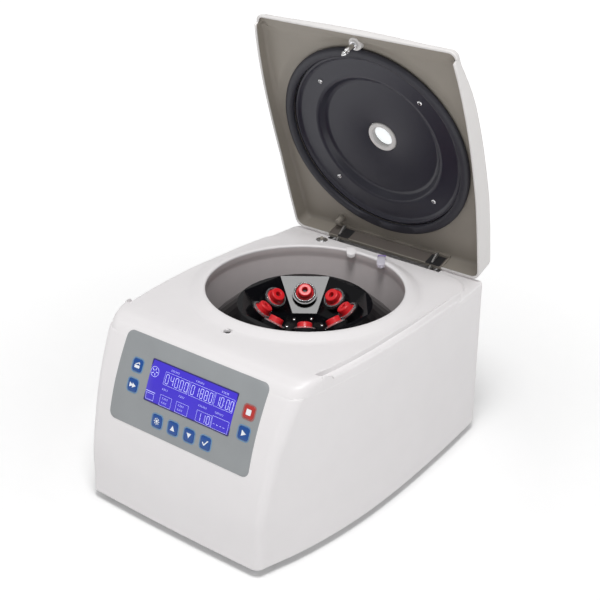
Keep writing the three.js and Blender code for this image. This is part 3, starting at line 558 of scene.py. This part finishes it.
def make_lid_shell():
    """The lid's cover: inside of its wall, rim, wall, rounded edge, top and the hole for the window."""
    plain, loops = lid_loop(0), []
    rim = [lid_rim(y) for _, y in plain]
    radius = [edge_radius(x, y) for x, y in plain]

    def raised(inset, heights):
        loops.append([(x, y, z) for (x, y), z in zip(lid_loop(inset), heights)])

    raised(3.0, [6.0] * len(plain))
    for inset, above in ((3.0, 0.6), (2.4, 0.1), (1.5, 0.0), (0.6, 0.1), (0.0, 0.7)):
        raised(inset, [z + above for z in rim])
    for share in (0.35, 0.7, 1.0):
        tops = [lid_top(x, y) - r for (x, y), r in zip(plain, radius)]
        raised(0.0, [z + 0.7 + (high - z - 0.7) * share for z, high in zip(rim, tops)])
    reach = 9.0
    inner = lid_loop(reach)
    for turn in np.linspace(0, math.pi / 2, 8)[1:]:
        loop = []
        for start, end, r in zip(plain, inner, radius):
            x, y = start + (end - start) * r * (1 - math.cos(turn)) / reach
            loop.append((x, y, lid_top(x, y) - r * (1 - math.sin(turn))))
        loops.append(loop)
    loops += gathered(
        loops[-1], VIEWPORT_R, (*np.linspace(0, 1, 13)[1:-1], 0.985, 1.0),
        lambda x, y, share: lid_top(x, y) - (0.6 if share == 1 else 0),
    )
    window_depth = 6
    loops.append([(x, y, z - window_depth) for x, y, z in loops[-1]])
    return lattice(loops, around=True)


piece("lid_cover", *make_lid_shell(), LID, "lid", LID_WHITE, ["lid_shell"], sharp=60)


LINER_FRONT = ([-152, -138, -130], [-2.0, 5.5, 8.0])
LINER_STEP, STEP_R, STEP_WIDTH, STEP_REAR_Y, STEP_FADE = 2.6, 135, 10, 40, 60


def liner_height(x, y):
    """Height of the lid's inner panel, which steps down outside the seal and fades out towards the rear."""
    z = float(np.interp(y, *LINER_FRONT))
    outside = float(smooth((math.hypot(x, y) - STEP_R) / STEP_WIDTH))
    return z - LINER_STEP * outside * float(smooth((STEP_REAR_Y - y) / STEP_FADE)) * (z > 3)


def make_liner():
    """The inner panel: up from the rim, over a soft edge and in to the hole for the disc."""
    loops = []
    for above in (1.2, 4.0):
        loops.append([(x, y, lid_rim(y) + above) for x, y in lid_loop(3.4)])
    for inset, lower in ((3.6, 3.6), (4.3, 1.7), (5.6, 0.6), (7.4, 0.0)):
        ring = lid_loop(inset)
        loops.append([(x, y, max(lid_rim(y) + 4.2, liner_height(x, y) - lower)) for x, y in ring])
    loops += gathered(
        loops[-1], DISC_HOLE_R, np.linspace(0, 1, 12)[1:],
        lambda x, y, share: liner_height(x, y) if share < 1 else 9.5,
    )
    return lattice(loops, around=True)


piece("lid_inner_panel", *make_liner(), LID, "lid", SHADED_LINER, ["lid_liner"], sharp=50)


# The long recess across the lid's back wall, where the two hinge arms go in. Its brown-grey back plate is
# painted shade, and the strip along its foot lays painted shade over the rim below it.
SLOT_X, SLOT_Y, SLOT_LOW, SLOT_TOP, SLOT_WALL = 84.5, 147.1, -13.2, 4.2, 2
SLOT_BACK = SLOT_Y + 0.5
ARM_X, ARM_HALF, EYE_R = 70, 1.1, 6.8


def recess(name, low, high, mat):
    block(f"hinge_slot_{name}", low, high, LID, "lid", mat)


recess("back", (-SLOT_X, SLOT_Y, SLOT_LOW), (SLOT_X, SLOT_BACK, SLOT_TOP), SLOT_SHADE)
recess("foot", (-SLOT_X, SLOT_Y, SLOT_LOW - 1.3), (SLOT_X, 151.2, SLOT_LOW + 0.1), SHADED_LINER)
# Black pads at the two ends of the recess, by the hinge arms: painted shade.
for side, x0, x1 in (("left", -SLOT_X + 14, -54), ("right", 62, SLOT_X - 2)):
    recess(side, (x0, SLOT_Y - 0.2, SLOT_LOW - 1.2), (x1, SLOT_Y + 0.2, SLOT_TOP - 1.4), BLACK)


def link(side, x):
    """A cranked hinge arm, from its eye up into the recess."""
    outline = [(142.6, 4.1), (142, 1), (145.2, -7), (150.2, -18)]
    for a in np.radians(np.linspace(165, 425, 20)):
        outline.append((HINGE_Y + EYE_R * math.cos(a), HINGE_Z + EYE_R * math.sin(a)))
    outline += [(151, -5), (146, 4.1)]
    loops = [[(x + offset, y, z) for y, z in outline] for offset in (-ARM_HALF, ARM_HALF)]
    verts, faces = lattice(loops, around=True)
    count = len(outline)
    faces += [tuple(range(count)), tuple(range(2 * count - 1, count - 1, -1))]
    piece(f"hinge_link_{side}", verts, faces, LID, "lid", STEEL_DULL, [f"hinge_arm_{side}"])


link("left", -ARM_X)
link("right", ARM_X)
edge = SLOT_X + SLOT_WALL
recess("top", (-edge, 144.6, SLOT_TOP), (edge, SLOT_BACK, SLOT_TOP + 3.6), SHADED_LINER)
for side, x in (("left", -edge), ("right", SLOT_X)):
    recess(f"{side}_cheek", (x, 146.2, SLOT_LOW), (x + SLOT_WALL, SLOT_BACK, SLOT_TOP), SHADED_LINER)
lathe(
    "striker_boss", [(3.6, 9), (3.6, 0.6), (7.8, 0.6), (8.4, 2.0), (8.8, 9)],
    LID @ Matrix.Translation((*LOCK_PLACE, 0)), "lid", LID_WHITE, segments=48, radius=0.9,
)
lathe(
    "switch_boss", [(0, 9), (0, -3.5), (3.7, -3.5), (4.2, 4), (5.0, 9)],
    LID @ Matrix.Translation((*SWITCH_PLACE, 0)), "lid", SHADED_LINER, segments=36, radius=0.8,
)


SEAL_RELIEFS, RELIEF_Z, RELIEF_BLEND = ((71, 87), (93, 109)), 3.6, 3


def seal_level(angle, z):
    """The seal is relieved where it comes down over the two rim clips."""
    degrees = math.degrees(angle)
    inside = max(min(degrees - low, high - degrees) for low, high in SEAL_RELIEFS)
    return z + max(0, RELIEF_Z - z) * float(smooth(inside / RELIEF_BLEND))


lathe(
    "lid_seal_ring",
    [(118, 7.7), (118, 3), (120.5, 1.1), (124, 0.6), (127.5, 1.6), (130.1, 4.6), (129, 7.7)],
    LID, "lid", SEAL, ["lid_seal"], segments=180, radius=1.6, level=seal_level,
)
lathe(
    "lid_dish",
    [(19.7, 22), (77, 20.3), (80.5, 18.6), (85.5, 12.6), (89, 11.4), (110.5, 11.4), (113.2, 9.6),
     (114.6, 7.9), (117.7, 7.7), (117.7, 10), (114, 12.5), (112, 13.6), (89, 13.6), (86, 15), (80.5, 21.5),
     (77, 22.6), (19.7, 24)],
    LID, "lid", DISC, ["lid_disc"], segments=128, radius=1.0,
)
lathe(
    "viewport_collar",
    [(13.2, 22.5), (14.2, 20.4), (17.8, 20.4), (19.3, 21.4), (19.3, 31.4), (15.4, 31.4), (15.4, 27),
     (13.2, 27)],
    LID, "lid", LID_WHITE, ["viewport_ring"], segments=72, radius=0.7,
)
lathe(
    "viewport_window", [(0, 27.3), (15, 27.3), (15, 30.5), (0, 30.5)],
    LID, "lid", GLASS, ["viewport_glass"], segments=64, radius=0.3, closed=False,
)


def screw_head(name, matrix, body, radius=3.2, height=1.6):
    """A domed head, its top towards +z, with its cross recess drawn as a flat black cross of painted shade.
    """
    dome = [(0, height), (radius * 0.6, height * 0.93), (radius * 0.92, height * 0.55), (radius, 0), (0, 0)]
    lathe(name, dome, matrix, body, CHROME, segments=32, radius=0.25, closed=False)
    arm, half = radius * 0.62, radius * 0.13
    cross = [(half, half), (arm, half), (arm, -half)]
    points = []
    for quarter in range(4):
        c, s = math.cos(quarter * math.pi / 2), math.sin(quarter * math.pi / 2)
        points += [(x * c + y * s, y * c - x * s, height + 0.03) for x, y in cross]
    # The cross is painted shade: a flat black mark where the recess would be dark.
    piece(name + "_cross", points, [tuple(range(12))], matrix, body, BLACK)


def on_circle(radius, angle, z):
    return Matrix.Translation((radius * math.cos(angle), radius * math.sin(angle), z))


DISC_SCREWS, DISC_SCREW_R = 4, 98.2
for i in range(DISC_SCREWS):
    place = on_circle(DISC_SCREW_R, math.radians(45 + 360 / DISC_SCREWS * i), 11.3)
    screw_head(f"disc_screw_{i + 1}", LID @ place @ Matrix.Rotation(math.pi, 4, "X"), "lid")

lathe(
    "striker",
    [(0, -24), (1.2, -23.5), (3.1, -20.2), (3.1, -19.7), (1.5, -19.3), (1.5, -14.6), (3.2, -14.2), (3.2, 9),
     (0, 9)],
    LID @ Matrix.Translation((*LOCK_PLACE, 0)), "lid", CHROME, ["striker_pin"], segments=48, radius=0.3,
    closed=False,
)
lathe(
    "striker_nut", [(3.3, -2.6), (4.8, -2.6), (5.4, -1.9), (5.4, 0.1), (4.8, 0.6), (3.3, 0.6)],
    LID @ Matrix.Translation((*LOCK_PLACE, 0)), "lid", CHROME, segments=6, sharp=20,
)

# ---- Rotor: caps, tubes and screws ------------------------------------------------------------------
for i in range(TUBES):
    body, here = f"tube_{i + 1}", seat(i)
    lathe(
        f"cap_{i + 1}",
        [(0, -6.5), (3.0, -6), (3.0, -0.7), (3.6, 0), (7.4, 0), (8.5, -1.0), (8.6, -7.6), (10.5, -8.2),
         (10.6, -12.6), (6, -13), (6, -20), (0, -20)],
        here, body, CAP_RED, [f"tube_cap_{i + 1}"], segments=48, radius=0.5, closed=False,
    )
    # A black disc at the bottom of the hole in each cap's top: painted shade that makes the hole look deep.
    lathe(
        f"cap_{i + 1}_hole_shade", [(0, -5.6), (3.05, -5.6), (3.05, -6.2), (0, -6.2)],
        here, body, BLACK, segments=32, closed=False,
    )
    lathe(
        f"vial_{i + 1}",
        [(0, -82), (3.5, -81.2), (6.6, -78.5), (8, -74), (8, -14.6), (12.6, -14.6), (13, -14), (13, -7.2),
         (12.4, -6.7), (11.3, -6.7), (11, -7.4), (11, -12.4), (6.6, -12.9), (6.6, -74), (4.5, -78),
         (0, -79.5)],
        here, body, TUBE, [f"tube_{i + 1}"], segments=48, radius=0.5, closed=False,
    )
lathe(
    "hub_plate", [(0, -53.9), (30, -53.9), (30, -53.3), (29.5, -52.9), (0, -52.9)],
    MACHINE, "rotor", ROTOR, ["rotor_hub"], segments=64, radius=0.2, closed=False,
)
HUB_SCREWS, HUB_SCREW_R, HUB_PHASE = 6, 20.8, 43.3
for i in range(HUB_SCREWS):
    place = on_circle(HUB_SCREW_R, math.radians(HUB_PHASE + 360 / HUB_SCREWS * i), -53)
    screw_head(f"hub_screw_{i + 1}", MACHINE @ place, "rotor", radius=2.4, height=1.4)


# ---- Front panel: keys, icons and display -----------------------------------------------------------
def front_offset_curve(offset):
    """The front's curve, moved outwards by the offset."""
    tangent = np.gradient(FRONT, axis=0)
    tangent /= np.linalg.norm(tangent, axis=1)[:, None]
    return FRONT + np.c_[-tangent[:, 1], tangent[:, 0]] * offset


def on_front(x, v, offset):
    """The point over a place on the panel that lies that far out from the front's surface."""
    curve = front_offset_curve(offset)
    rel = curve - (PANEL_Y, PANEL_Z)
    along, out = rel @ PANEL_UP, rel @ PANEL_OUT
    y, z = np.array((PANEL_Y, PANEL_Z)) + PANEL_UP * v + PANEL_OUT * np.interp(v, along, out)
    return (x, y, z)


def rounded_square(size_x, size_v, radius, steps=5):
    points = []
    for side_x, side_v, start in ((1, 1, 0), (-1, 1, 90), (-1, -1, 180), (1, -1, 270)):
        middle_x, middle_v = side_x * (size_x / 2 - radius), side_v * (size_v / 2 - radius)
        for a in np.radians(start + np.linspace(0, 90, steps)):
            points.append((middle_x + radius * math.cos(a), middle_v + radius * math.sin(a)))
    return points


def pad(name, x, v, size_x, size_v, radius, levels, body, mat, replaces=()):
    """A rounded pad on the front: each level is (inset, height over the front)."""
    loops = []
    for inset, height in levels:
        ring = rounded_square(size_x - 2 * inset, size_v - 2 * inset, max(0.3, radius - inset))
        loops.append([on_front(x + px, v + pv, height) for px, pv in ring])
    verts, faces = lattice(loops, around=True)
    faces.append(tuple(range(len(verts) - len(loops[-1]), len(verts))))
    return piece(name, verts, faces, MACHINE, body, mat, replaces, sharp=50)


def band(name, x, v, size_x, size_v, levels, mat):
    """A frame on the front: each level is (growth, corner radius, height over the front)."""
    loops = []
    for grow, radius, height in levels:
        ring = rounded_square(size_x + 2 * grow, size_v + 2 * grow, radius)
        loops.append([on_front(x + px, v + pv, height) for px, pv in ring])
    piece(name, *lattice(loops, around=True), MACHINE, "casing", mat)


PLATE_DEPTH, PLATE_BEVEL = -1.8, 0.25


def curved_plate(name, x, v, size_x, size_v, radius, height, mat, replaces):
    """A rounded sheet that follows the curve of the front, with an edge that goes down into the casing."""
    rows = []
    top = size_v / 2
    bend = radius * (1 - np.cos(np.linspace(0, math.pi / 2, 8))) - top
    for dv in (*bend, *np.linspace(radius - top, top - radius, 40)[1:-1], *-bend[::-1]):
        into = max(0, radius - (top - abs(dv)))
        half = size_x / 2 - radius + math.sqrt(max(0, radius**2 - into**2))
        across = np.array([-half, -half, *np.linspace(-half + 0.4, half - 0.4, 15), half, half])
        shoulder = height - PLATE_BEVEL
        rise = [PLATE_DEPTH, shoulder, *[height] * 15, shoulder, PLATE_DEPTH]
        rows.append([on_front(x + dx, v + dv, h) for dx, h in zip(across, rise)])
    low = [on_front(px, v - top, PLATE_DEPTH) for px, _, _ in rows[0]]
    high = [on_front(px, v + top, PLATE_DEPTH) for px, _, _ in rows[-1]]
    verts, faces = lattice([low, *rows, high])
    return piece(name, verts, faces, MACHINE, "casing", mat, replaces, sharp=50)


def stamp(name, shapes, height, body, mat):
    """Flat marks on the front: each shape is a list of x, v points."""
    verts, faces = [], []
    for shape in shapes:
        faces.append(tuple(range(len(verts), len(verts) + len(shape))))
        verts += [on_front(x, v, height) for x, v in shape]
    return piece(name, verts, faces, MACHINE, body, mat)


def moved(shape, x, v, scale=1.0, turn=0.0):
    """A shape turned and scaled about its origin, then put at x, v."""
    c, s = math.cos(turn), math.sin(turn)
    return [(x + scale * (px * c - pv * s), v + scale * (px * s + pv * c)) for px, pv in shape]


def bar(x0, v0, x1, v1, width):
    """A straight stroke."""
    k = width / 2 / math.hypot(x1 - x0, v1 - v0)
    dx, dv = (x1 - x0) * k, (v1 - v0) * k
    return [(x0 - dv, v0 + dx), (x0 + dv, v0 - dx), (x1 + dv, v1 - dx), (x1 - dv, v1 + dx)]


def spokes(count, inner, outer, width):
    shapes = []
    for a in np.arange(count) * 2 * math.pi / count:
        c, s = math.cos(a), math.sin(a)
        shapes.append(bar(inner * c, inner * s, outer * c, outer * s, width))
    return shapes


TRIANGLE = [(-3, -2.4), (3, -2.4), (0, 3)]
TO_RIGHT = -math.pi / 2
LID_ICON_BASE = [(-3.6, -3), (3.6, -3), (3.6, 0.2), (-3.6, 0.2)]
ICONS = {
    "key_lid": [LID_ICON_BASE, bar(-2.6, 1.0, 2.4, 3.4, 1.1), bar(2.4, 3.4, 3.2, 1.2, 1.0)],
    "key_spin": [moved(TRIANGLE, -1.9, 0, 0.95, TO_RIGHT), moved(TRIANGLE, 2.2, 0, 0.95, TO_RIGHT)],
    "key_menu": [rounded_square(3.2, 3.2, 1.59, 4), *spokes(8, 2.2, 3.9, 1.0)],
    "key_up": [moved(TRIANGLE, 0, -0.2, 1.05)],
    "key_down": [moved(TRIANGLE, 0, 0.2, 1.05, math.pi)],
    "key_enter": [bar(-3.6, 0.2, -1.0, -2.8, 1.3), bar(-1.4, -2.8, 3.6, 3.2, 1.3)],
    "key_stop": [rounded_square(6.2, 6.2, 0.4, 2)],
    "key_start": [moved(TRIANGLE, 0.4, 0, 1.1, TO_RIGHT)],
}
KEY_PLACES = {
    "key_lid": (-73, 16), "key_spin": (-73, -6.5), "key_menu": (-30, -33.3), "key_up": (-7, -33.3),
    "key_down": (16, -33.3), "key_enter": (39, -33.3), "key_stop": (84, 16), "key_start": (84, -6.5),
}
KEY_SIZE = 14
KEY_LEVELS = [(0, -1.5), (0, 0.5), (0.35, 0.85), (1.2, 1.0), (3.5, 1.12)]
HALO_LEVELS = [(0.45, 3.45, 0.1), (0.5, 3.5, 0.62), (1.3, 4.3, 0.56), (1.35, 4.35, 0.1)]
for key, (x, v) in KEY_PLACES.items():
    face, halo = (KEY_RED, RED_HALO) if key == "key_stop" else (KEY_BLUE, KEY_HALO)
    pad(f"{key}_pad", x, v, KEY_SIZE, KEY_SIZE, 3, KEY_LEVELS, key, face, [key])
    stamp(f"{key}_icon", [moved(shape, x, v) for shape in ICONS[key]], 1.2, key, ICON)
    band(f"{key}_halo", x, v, KEY_SIZE, KEY_SIZE, HALO_LEVELS, halo)

DISPLAY = (6, 7, 120, 46.5)
BORDER_LEVELS = [(0.25, 1.5, 0.1), (0.2, 1.5, 0.7), (-1.0, 1.5, 0.7), (-1.05, 1.5, 0.2)]
curved_plate("panel_sheet", 0, 0, 199, 101, 8, 0.3, PANEL, ["control_panel"])
curved_plate("display_screen", *DISPLAY, 1.5, 0.45, BLUE_LCD, ["display"])
band("display_border", *DISPLAY, BORDER_LEVELS, FRAME_DARK)

# Seven-segment figures, with their segments named a to g.
SEGMENTS = {
    "a": ((0, 2), (1, 2)), "b": ((1, 2), (1, 1)), "c": ((1, 1), (1, 0)), "d": ((0, 0), (1, 0)),
    "e": ((0, 1), (0, 0)), "f": ((0, 2), (0, 1)), "g": ((0, 1), (1, 1)),
}
FIGURES = {"0": "abcdef", "1": "bc", "4": "bcfg", "8": "abcdefg", "-": "g"}


def figures(text, x, v, width, height, gap, weight):
    shapes = []
    trim = weight * 0.45
    for glyph in text:
        if glyph == ":":
            left = x - gap / 2
            for dot_v in (v + height * 0.3, v + height * 0.7):
                shapes.append(bar(left, dot_v, left + weight, dot_v, weight))
            x += gap
            continue
        for name in FIGURES[glyph]:
            (x0, v0), (x1, v1) = SEGMENTS[name]
            trim_x, trim_v = (trim, 0) if v0 == v1 else (0, -trim)
            start = (x + x0 * width + trim_x, v + v0 * height / 2 + trim_v)
            end = (x + x1 * width - trim_x, v + v1 * height / 2 - trim_v)
            shapes.append(bar(*start, *end, weight))
        x += width + gap
    return shapes


def outline(corners, weight):
    """A closed line through the corners."""
    return [bar(*a, *b, weight) for a, b in zip(corners, corners[1:] + corners[:1])]


CAPTION_WEIGHT = 0.25


def label(x, v, count, size):
    """A line of small unreadable ticks where the display has its captions."""
    shapes = []
    tick = size * 0.8
    for i in range(count):
        left = x + i * size * 1.15
        stem = left + size * (0.2 + 0.4 * (i % 2))
        shapes.append(bar(left, v, left + tick, v, CAPTION_WEIGHT))
        shapes.append(bar(left, v + tick, left + tick, v + tick, CAPTION_WEIGHT))
        shapes.append(bar(stem, v, stem, v + tick, CAPTION_WEIGHT))
    return shapes


# Each reading: its figures, where it starts, the width and height of a figure, the gap and the stroke.
READINGS = [
    ("04000", -30.5, 9.5, 3.9, 10.0, 2.9, 0.6), ("01880", 6.0, 9.5, 3.6, 10.0, 2.7, 0.6),
    ("10:00", 41.0, 9.5, 3.4, 10.0, 2.1, 0.6), ("110", 22.5, -13.4, 3.5, 8.4, 2.6, 0.6),
    ("----", 43.5, -13.4, 2.6, 7.0, 1.9, 0.5),
]
# Two corners of each box, and its stroke.
DISPLAY_BOXES = [
    (-32.6, 7.8, 1.6, 21.8, 0.28), (3.4, 7.8, 36.8, 21.8, 0.28), (38.4, 7.8, 63.6, 21.8, 0.28),
    (-52, -14, -41, -7, 0.35), (20, -15, 40.5, -3, 0.28), (-32, -15, -16, -3.5, 0.28),
    (-9, -15, 8, -3.5, 0.28), (41.6, -15, 63.6, -2, 0.28),
]
# Where each caption starts, how many ticks it has and how large they are.
CAPTIONS = [
    (-26, 24.4, 6, 1.7), (9, 24.4, 6, 1.7), (45, 24.4, 5, 1.7), (-32, 2.0, 4, 1.8), (-8, 2.0, 4, 1.8),
    (20, 1.4, 6, 1.7), (43, 1.4, 6, 1.7), (-29, -7.5, 4, 1.8), (-29, -12, 4, 1.6), (-6, -7.5, 4, 1.8),
    (-6, -12, 4, 1.6),
]
WHEEL_X, WHEEL_V, WHEEL_R = -47.5, 17, 5.6
lit = []
for reading in READINGS:
    lit += figures(*reading)
turns = np.linspace(0, 2 * math.pi, 21)[:-1]
lit += outline([(WHEEL_X + WHEEL_R * math.cos(a), WHEEL_V + WHEEL_R * math.sin(a)) for a in turns], 0.45)
lit += [moved(spoke, WHEEL_X, WHEEL_V) for spoke in spokes(5, 1.6, 4.4, 0.8)]
lit.append(bar(-53, -5, -40, -5, 0.6))
stamp("display_figures", lit, 0.62, "casing", LIT)
fine = []
for x0, v0, x1, v1, weight in DISPLAY_BOXES:
    fine += outline([(x0, v0), (x1, v0), (x1, v1), (x0, v1)], weight)
for caption in CAPTIONS:
    fine += label(*caption)
stamp("display_captions", fine, 0.6, "casing", LIT)

# ---- Rear of the deck: switch grommet and rim clips -------------------------------------------------
switch_z = deck_height(*SWITCH_PLACE)
GROMMET = [(2.9, -3), (2.9, 1.0), (4.2, 1.5), (5.2, 0.7), (7.2, 0.9), (7.6, 0.2), (7.4, -3)]
lathe(
    "switch_grommet", [(r, switch_z + z) for r, z in GROMMET],
    MACHINE @ Matrix.Translation((*SWITCH_PLACE, 0)), "casing", STEEL, segments=48, radius=0.4,
)

# The section of a rim clip: shares of its half width, and heights over what it lies on.
CLIP_SECTION = [(-1, -1.5), (-1, 1.8), (-0.75, 2.5), (0, 2.8), (0.75, 2.5), (1, 1.8), (1, -1.5)]
CLIP_BEND_R = 116


def rim_clip(name, start, end, width, mat):
    """A moulded tongue that lies on the deck and hooks over the chamber's lip."""
    start, end = np.array(start, float), np.array(end, float)
    length = np.linalg.norm(end - start)
    along = (end - start) / length
    side = np.array((-along[1], along[0]))
    loops = []
    for t in np.linspace(0, 1, 22):
        middle = start + along * length * t
        from_end = min(1, min(t, 1 - t) * length / (width / 2))
        half = width / 2 * math.sqrt(max(0.02, 1 - (1 - from_end) ** 2))
        r = math.hypot(*middle)
        base = deck_height(*middle) if r > CLIP_BEND_R else -0.1 - 0.35 * (CLIP_BEND_R - r)
        loops.append([(*(middle + side * half * share), base + height) for share, height in CLIP_SECTION])
    verts, faces = lattice(loops, around=True)
    count = len(CLIP_SECTION)
    faces += [tuple(range(count)), tuple(range(len(verts) - count, len(verts)))]
    piece(name, verts, faces, MACHINE, "casing", mat, sharp=50)


rim_clip("rim_clip_left", (-33, 136), (-10, 106), 11, CASING)
rim_clip("rim_clip_right", (15, 137), (36, 102), 10, CLIP)
latch_x, latch_y = 16.5, 134
latch = MACHINE @ Matrix.Translation((latch_x, latch_y, deck_height(latch_x, latch_y)))
latch = latch @ Matrix.Rotation(math.radians(31), 4, "Z")
block("rim_clip_latch", (-5, -1.6, 0), (5, 1.6, 3.6), latch, "casing", CLIP_TINT)

# ---- Feet -----------------------------------------------------------------------------------------
FOOT = [(0, -217), (10, -217), (11.4, -215.4), (12.8, -207.3), (0, -207.3)]
for side, x in (("left", -105), ("right", 105)):
    for end, y in (("front", -205), ("rear", 140)):
        lathe(
            f"rubber_foot_{end}_{side}", FOOT, MACHINE @ Matrix.Translation((x, y, 0)), "casing", RUBBER,
            [f"foot_{end}_{side}"], segments=48, radius=0.8, closed=False,
        )

# ---- Floor, light and camera ------------------------------------------------------------------------
FLOOR_HALF = 9
corners = [(FLOOR_HALF * x, FLOOR_HALF * y, 0) for x, y in ((-1, -1), (1, -1), (1, 1), (-1, 1))]
floor_mesh = bpy.data.meshes.new("floor")
floor_mesh.from_pydata(corners, [], [(0, 1, 2, 3)])
floor = bpy.data.objects.new("floor", floor_mesh)
FLOOR = material("floor_white", (0.92, 0.92, 0.92), 0.7, mottle=0.005, grain=0)
# The floor shines a little, and more with the distance from the object, so that it turns a plain white.
lit_up(FLOOR, (1, 1, 1), 0)
floor_nodes, floor_links = FLOOR.node_tree.nodes, FLOOR.node_tree.links
distance = floor_nodes.new("ShaderNodeVectorMath")
distance.operation = "LENGTH"
floor_links.new(floor_nodes.new("ShaderNodeTexCoord").outputs["Object"], distance.inputs[0])
glow = floor_nodes.new("ShaderNodeMapRange")
for socket, value in (("From Min", 0.3), ("From Max", 1.4), ("To Min", 0.12), ("To Max", 0.7)):
    glow.inputs[socket].default_value = value
floor_links.new(distance.outputs["Value"], glow.inputs["Value"])
floor_links.new(glow.outputs["Result"], floor_nodes["Principled BSDF"].inputs["Emission Strength"])
floor_mesh.materials.append(FLOOR)
bpy.context.scene.collection.objects.link(floor)

world = bpy.data.worlds.new("studio")
world.use_nodes = True
background = world.node_tree.nodes["Background"]
background.inputs["Color"].default_value = (1, 1, 1, 1)
background.inputs["Strength"].default_value = 0.33
bpy.context.scene.world = world

AIM = Vector((0, 0, 0.2))


def softbox(name, place, size, power):
    """A round area light that looks at the object."""
    light = bpy.data.lights.new(name, "AREA")
    light.shape = "DISK"
    light.size = size
    light.energy = power
    obj = bpy.data.objects.new(name, light)
    obj.location = place
    obj.rotation_euler = (AIM - Vector(place)).to_track_quat("-Z", "Y").to_euler()
    bpy.context.scene.collection.objects.link(obj)


softbox("key", (-1.1, -1.3, 2.2), 1.4, 3)
softbox("top", (0.46, -0.6, 2.5), 0.95, 40)
softbox("fill", (1.8, -0.6, 1.2), 1.6, 1.5)

CAMERA_PLACE = (765.1, -1014.7, 600.2)
CAMERA_TURN = (37.273, 25.986, 0.741)
scene = bpy.context.scene
scene.view_settings.view_transform = "Standard"
azimuth, elevation, roll = (math.radians(a) for a in CAMERA_TURN)
level_back = Vector((math.sin(azimuth), -math.cos(azimuth), 0))
back = level_back * math.cos(elevation) + Vector((0, 0, math.sin(elevation)))
right = Vector((math.cos(azimuth), math.sin(azimuth), 0))
up = back.cross(right)
right, up = right * math.cos(roll) + up * math.sin(roll), up * math.cos(roll) - right * math.sin(roll)
turned = Matrix((right, up, back)).transposed().to_4x4()
camera = bpy.data.objects.new("camera", bpy.data.cameras.new("camera"))
camera.data.lens, camera.data.sensor_width = 72.92, 36
camera.data.clip_end = 50
camera.matrix_world = Matrix.Translation(MACHINE @ Vector(CAMERA_PLACE)) @ turned
scene.collection.objects.link(camera)
scene.camera = camera
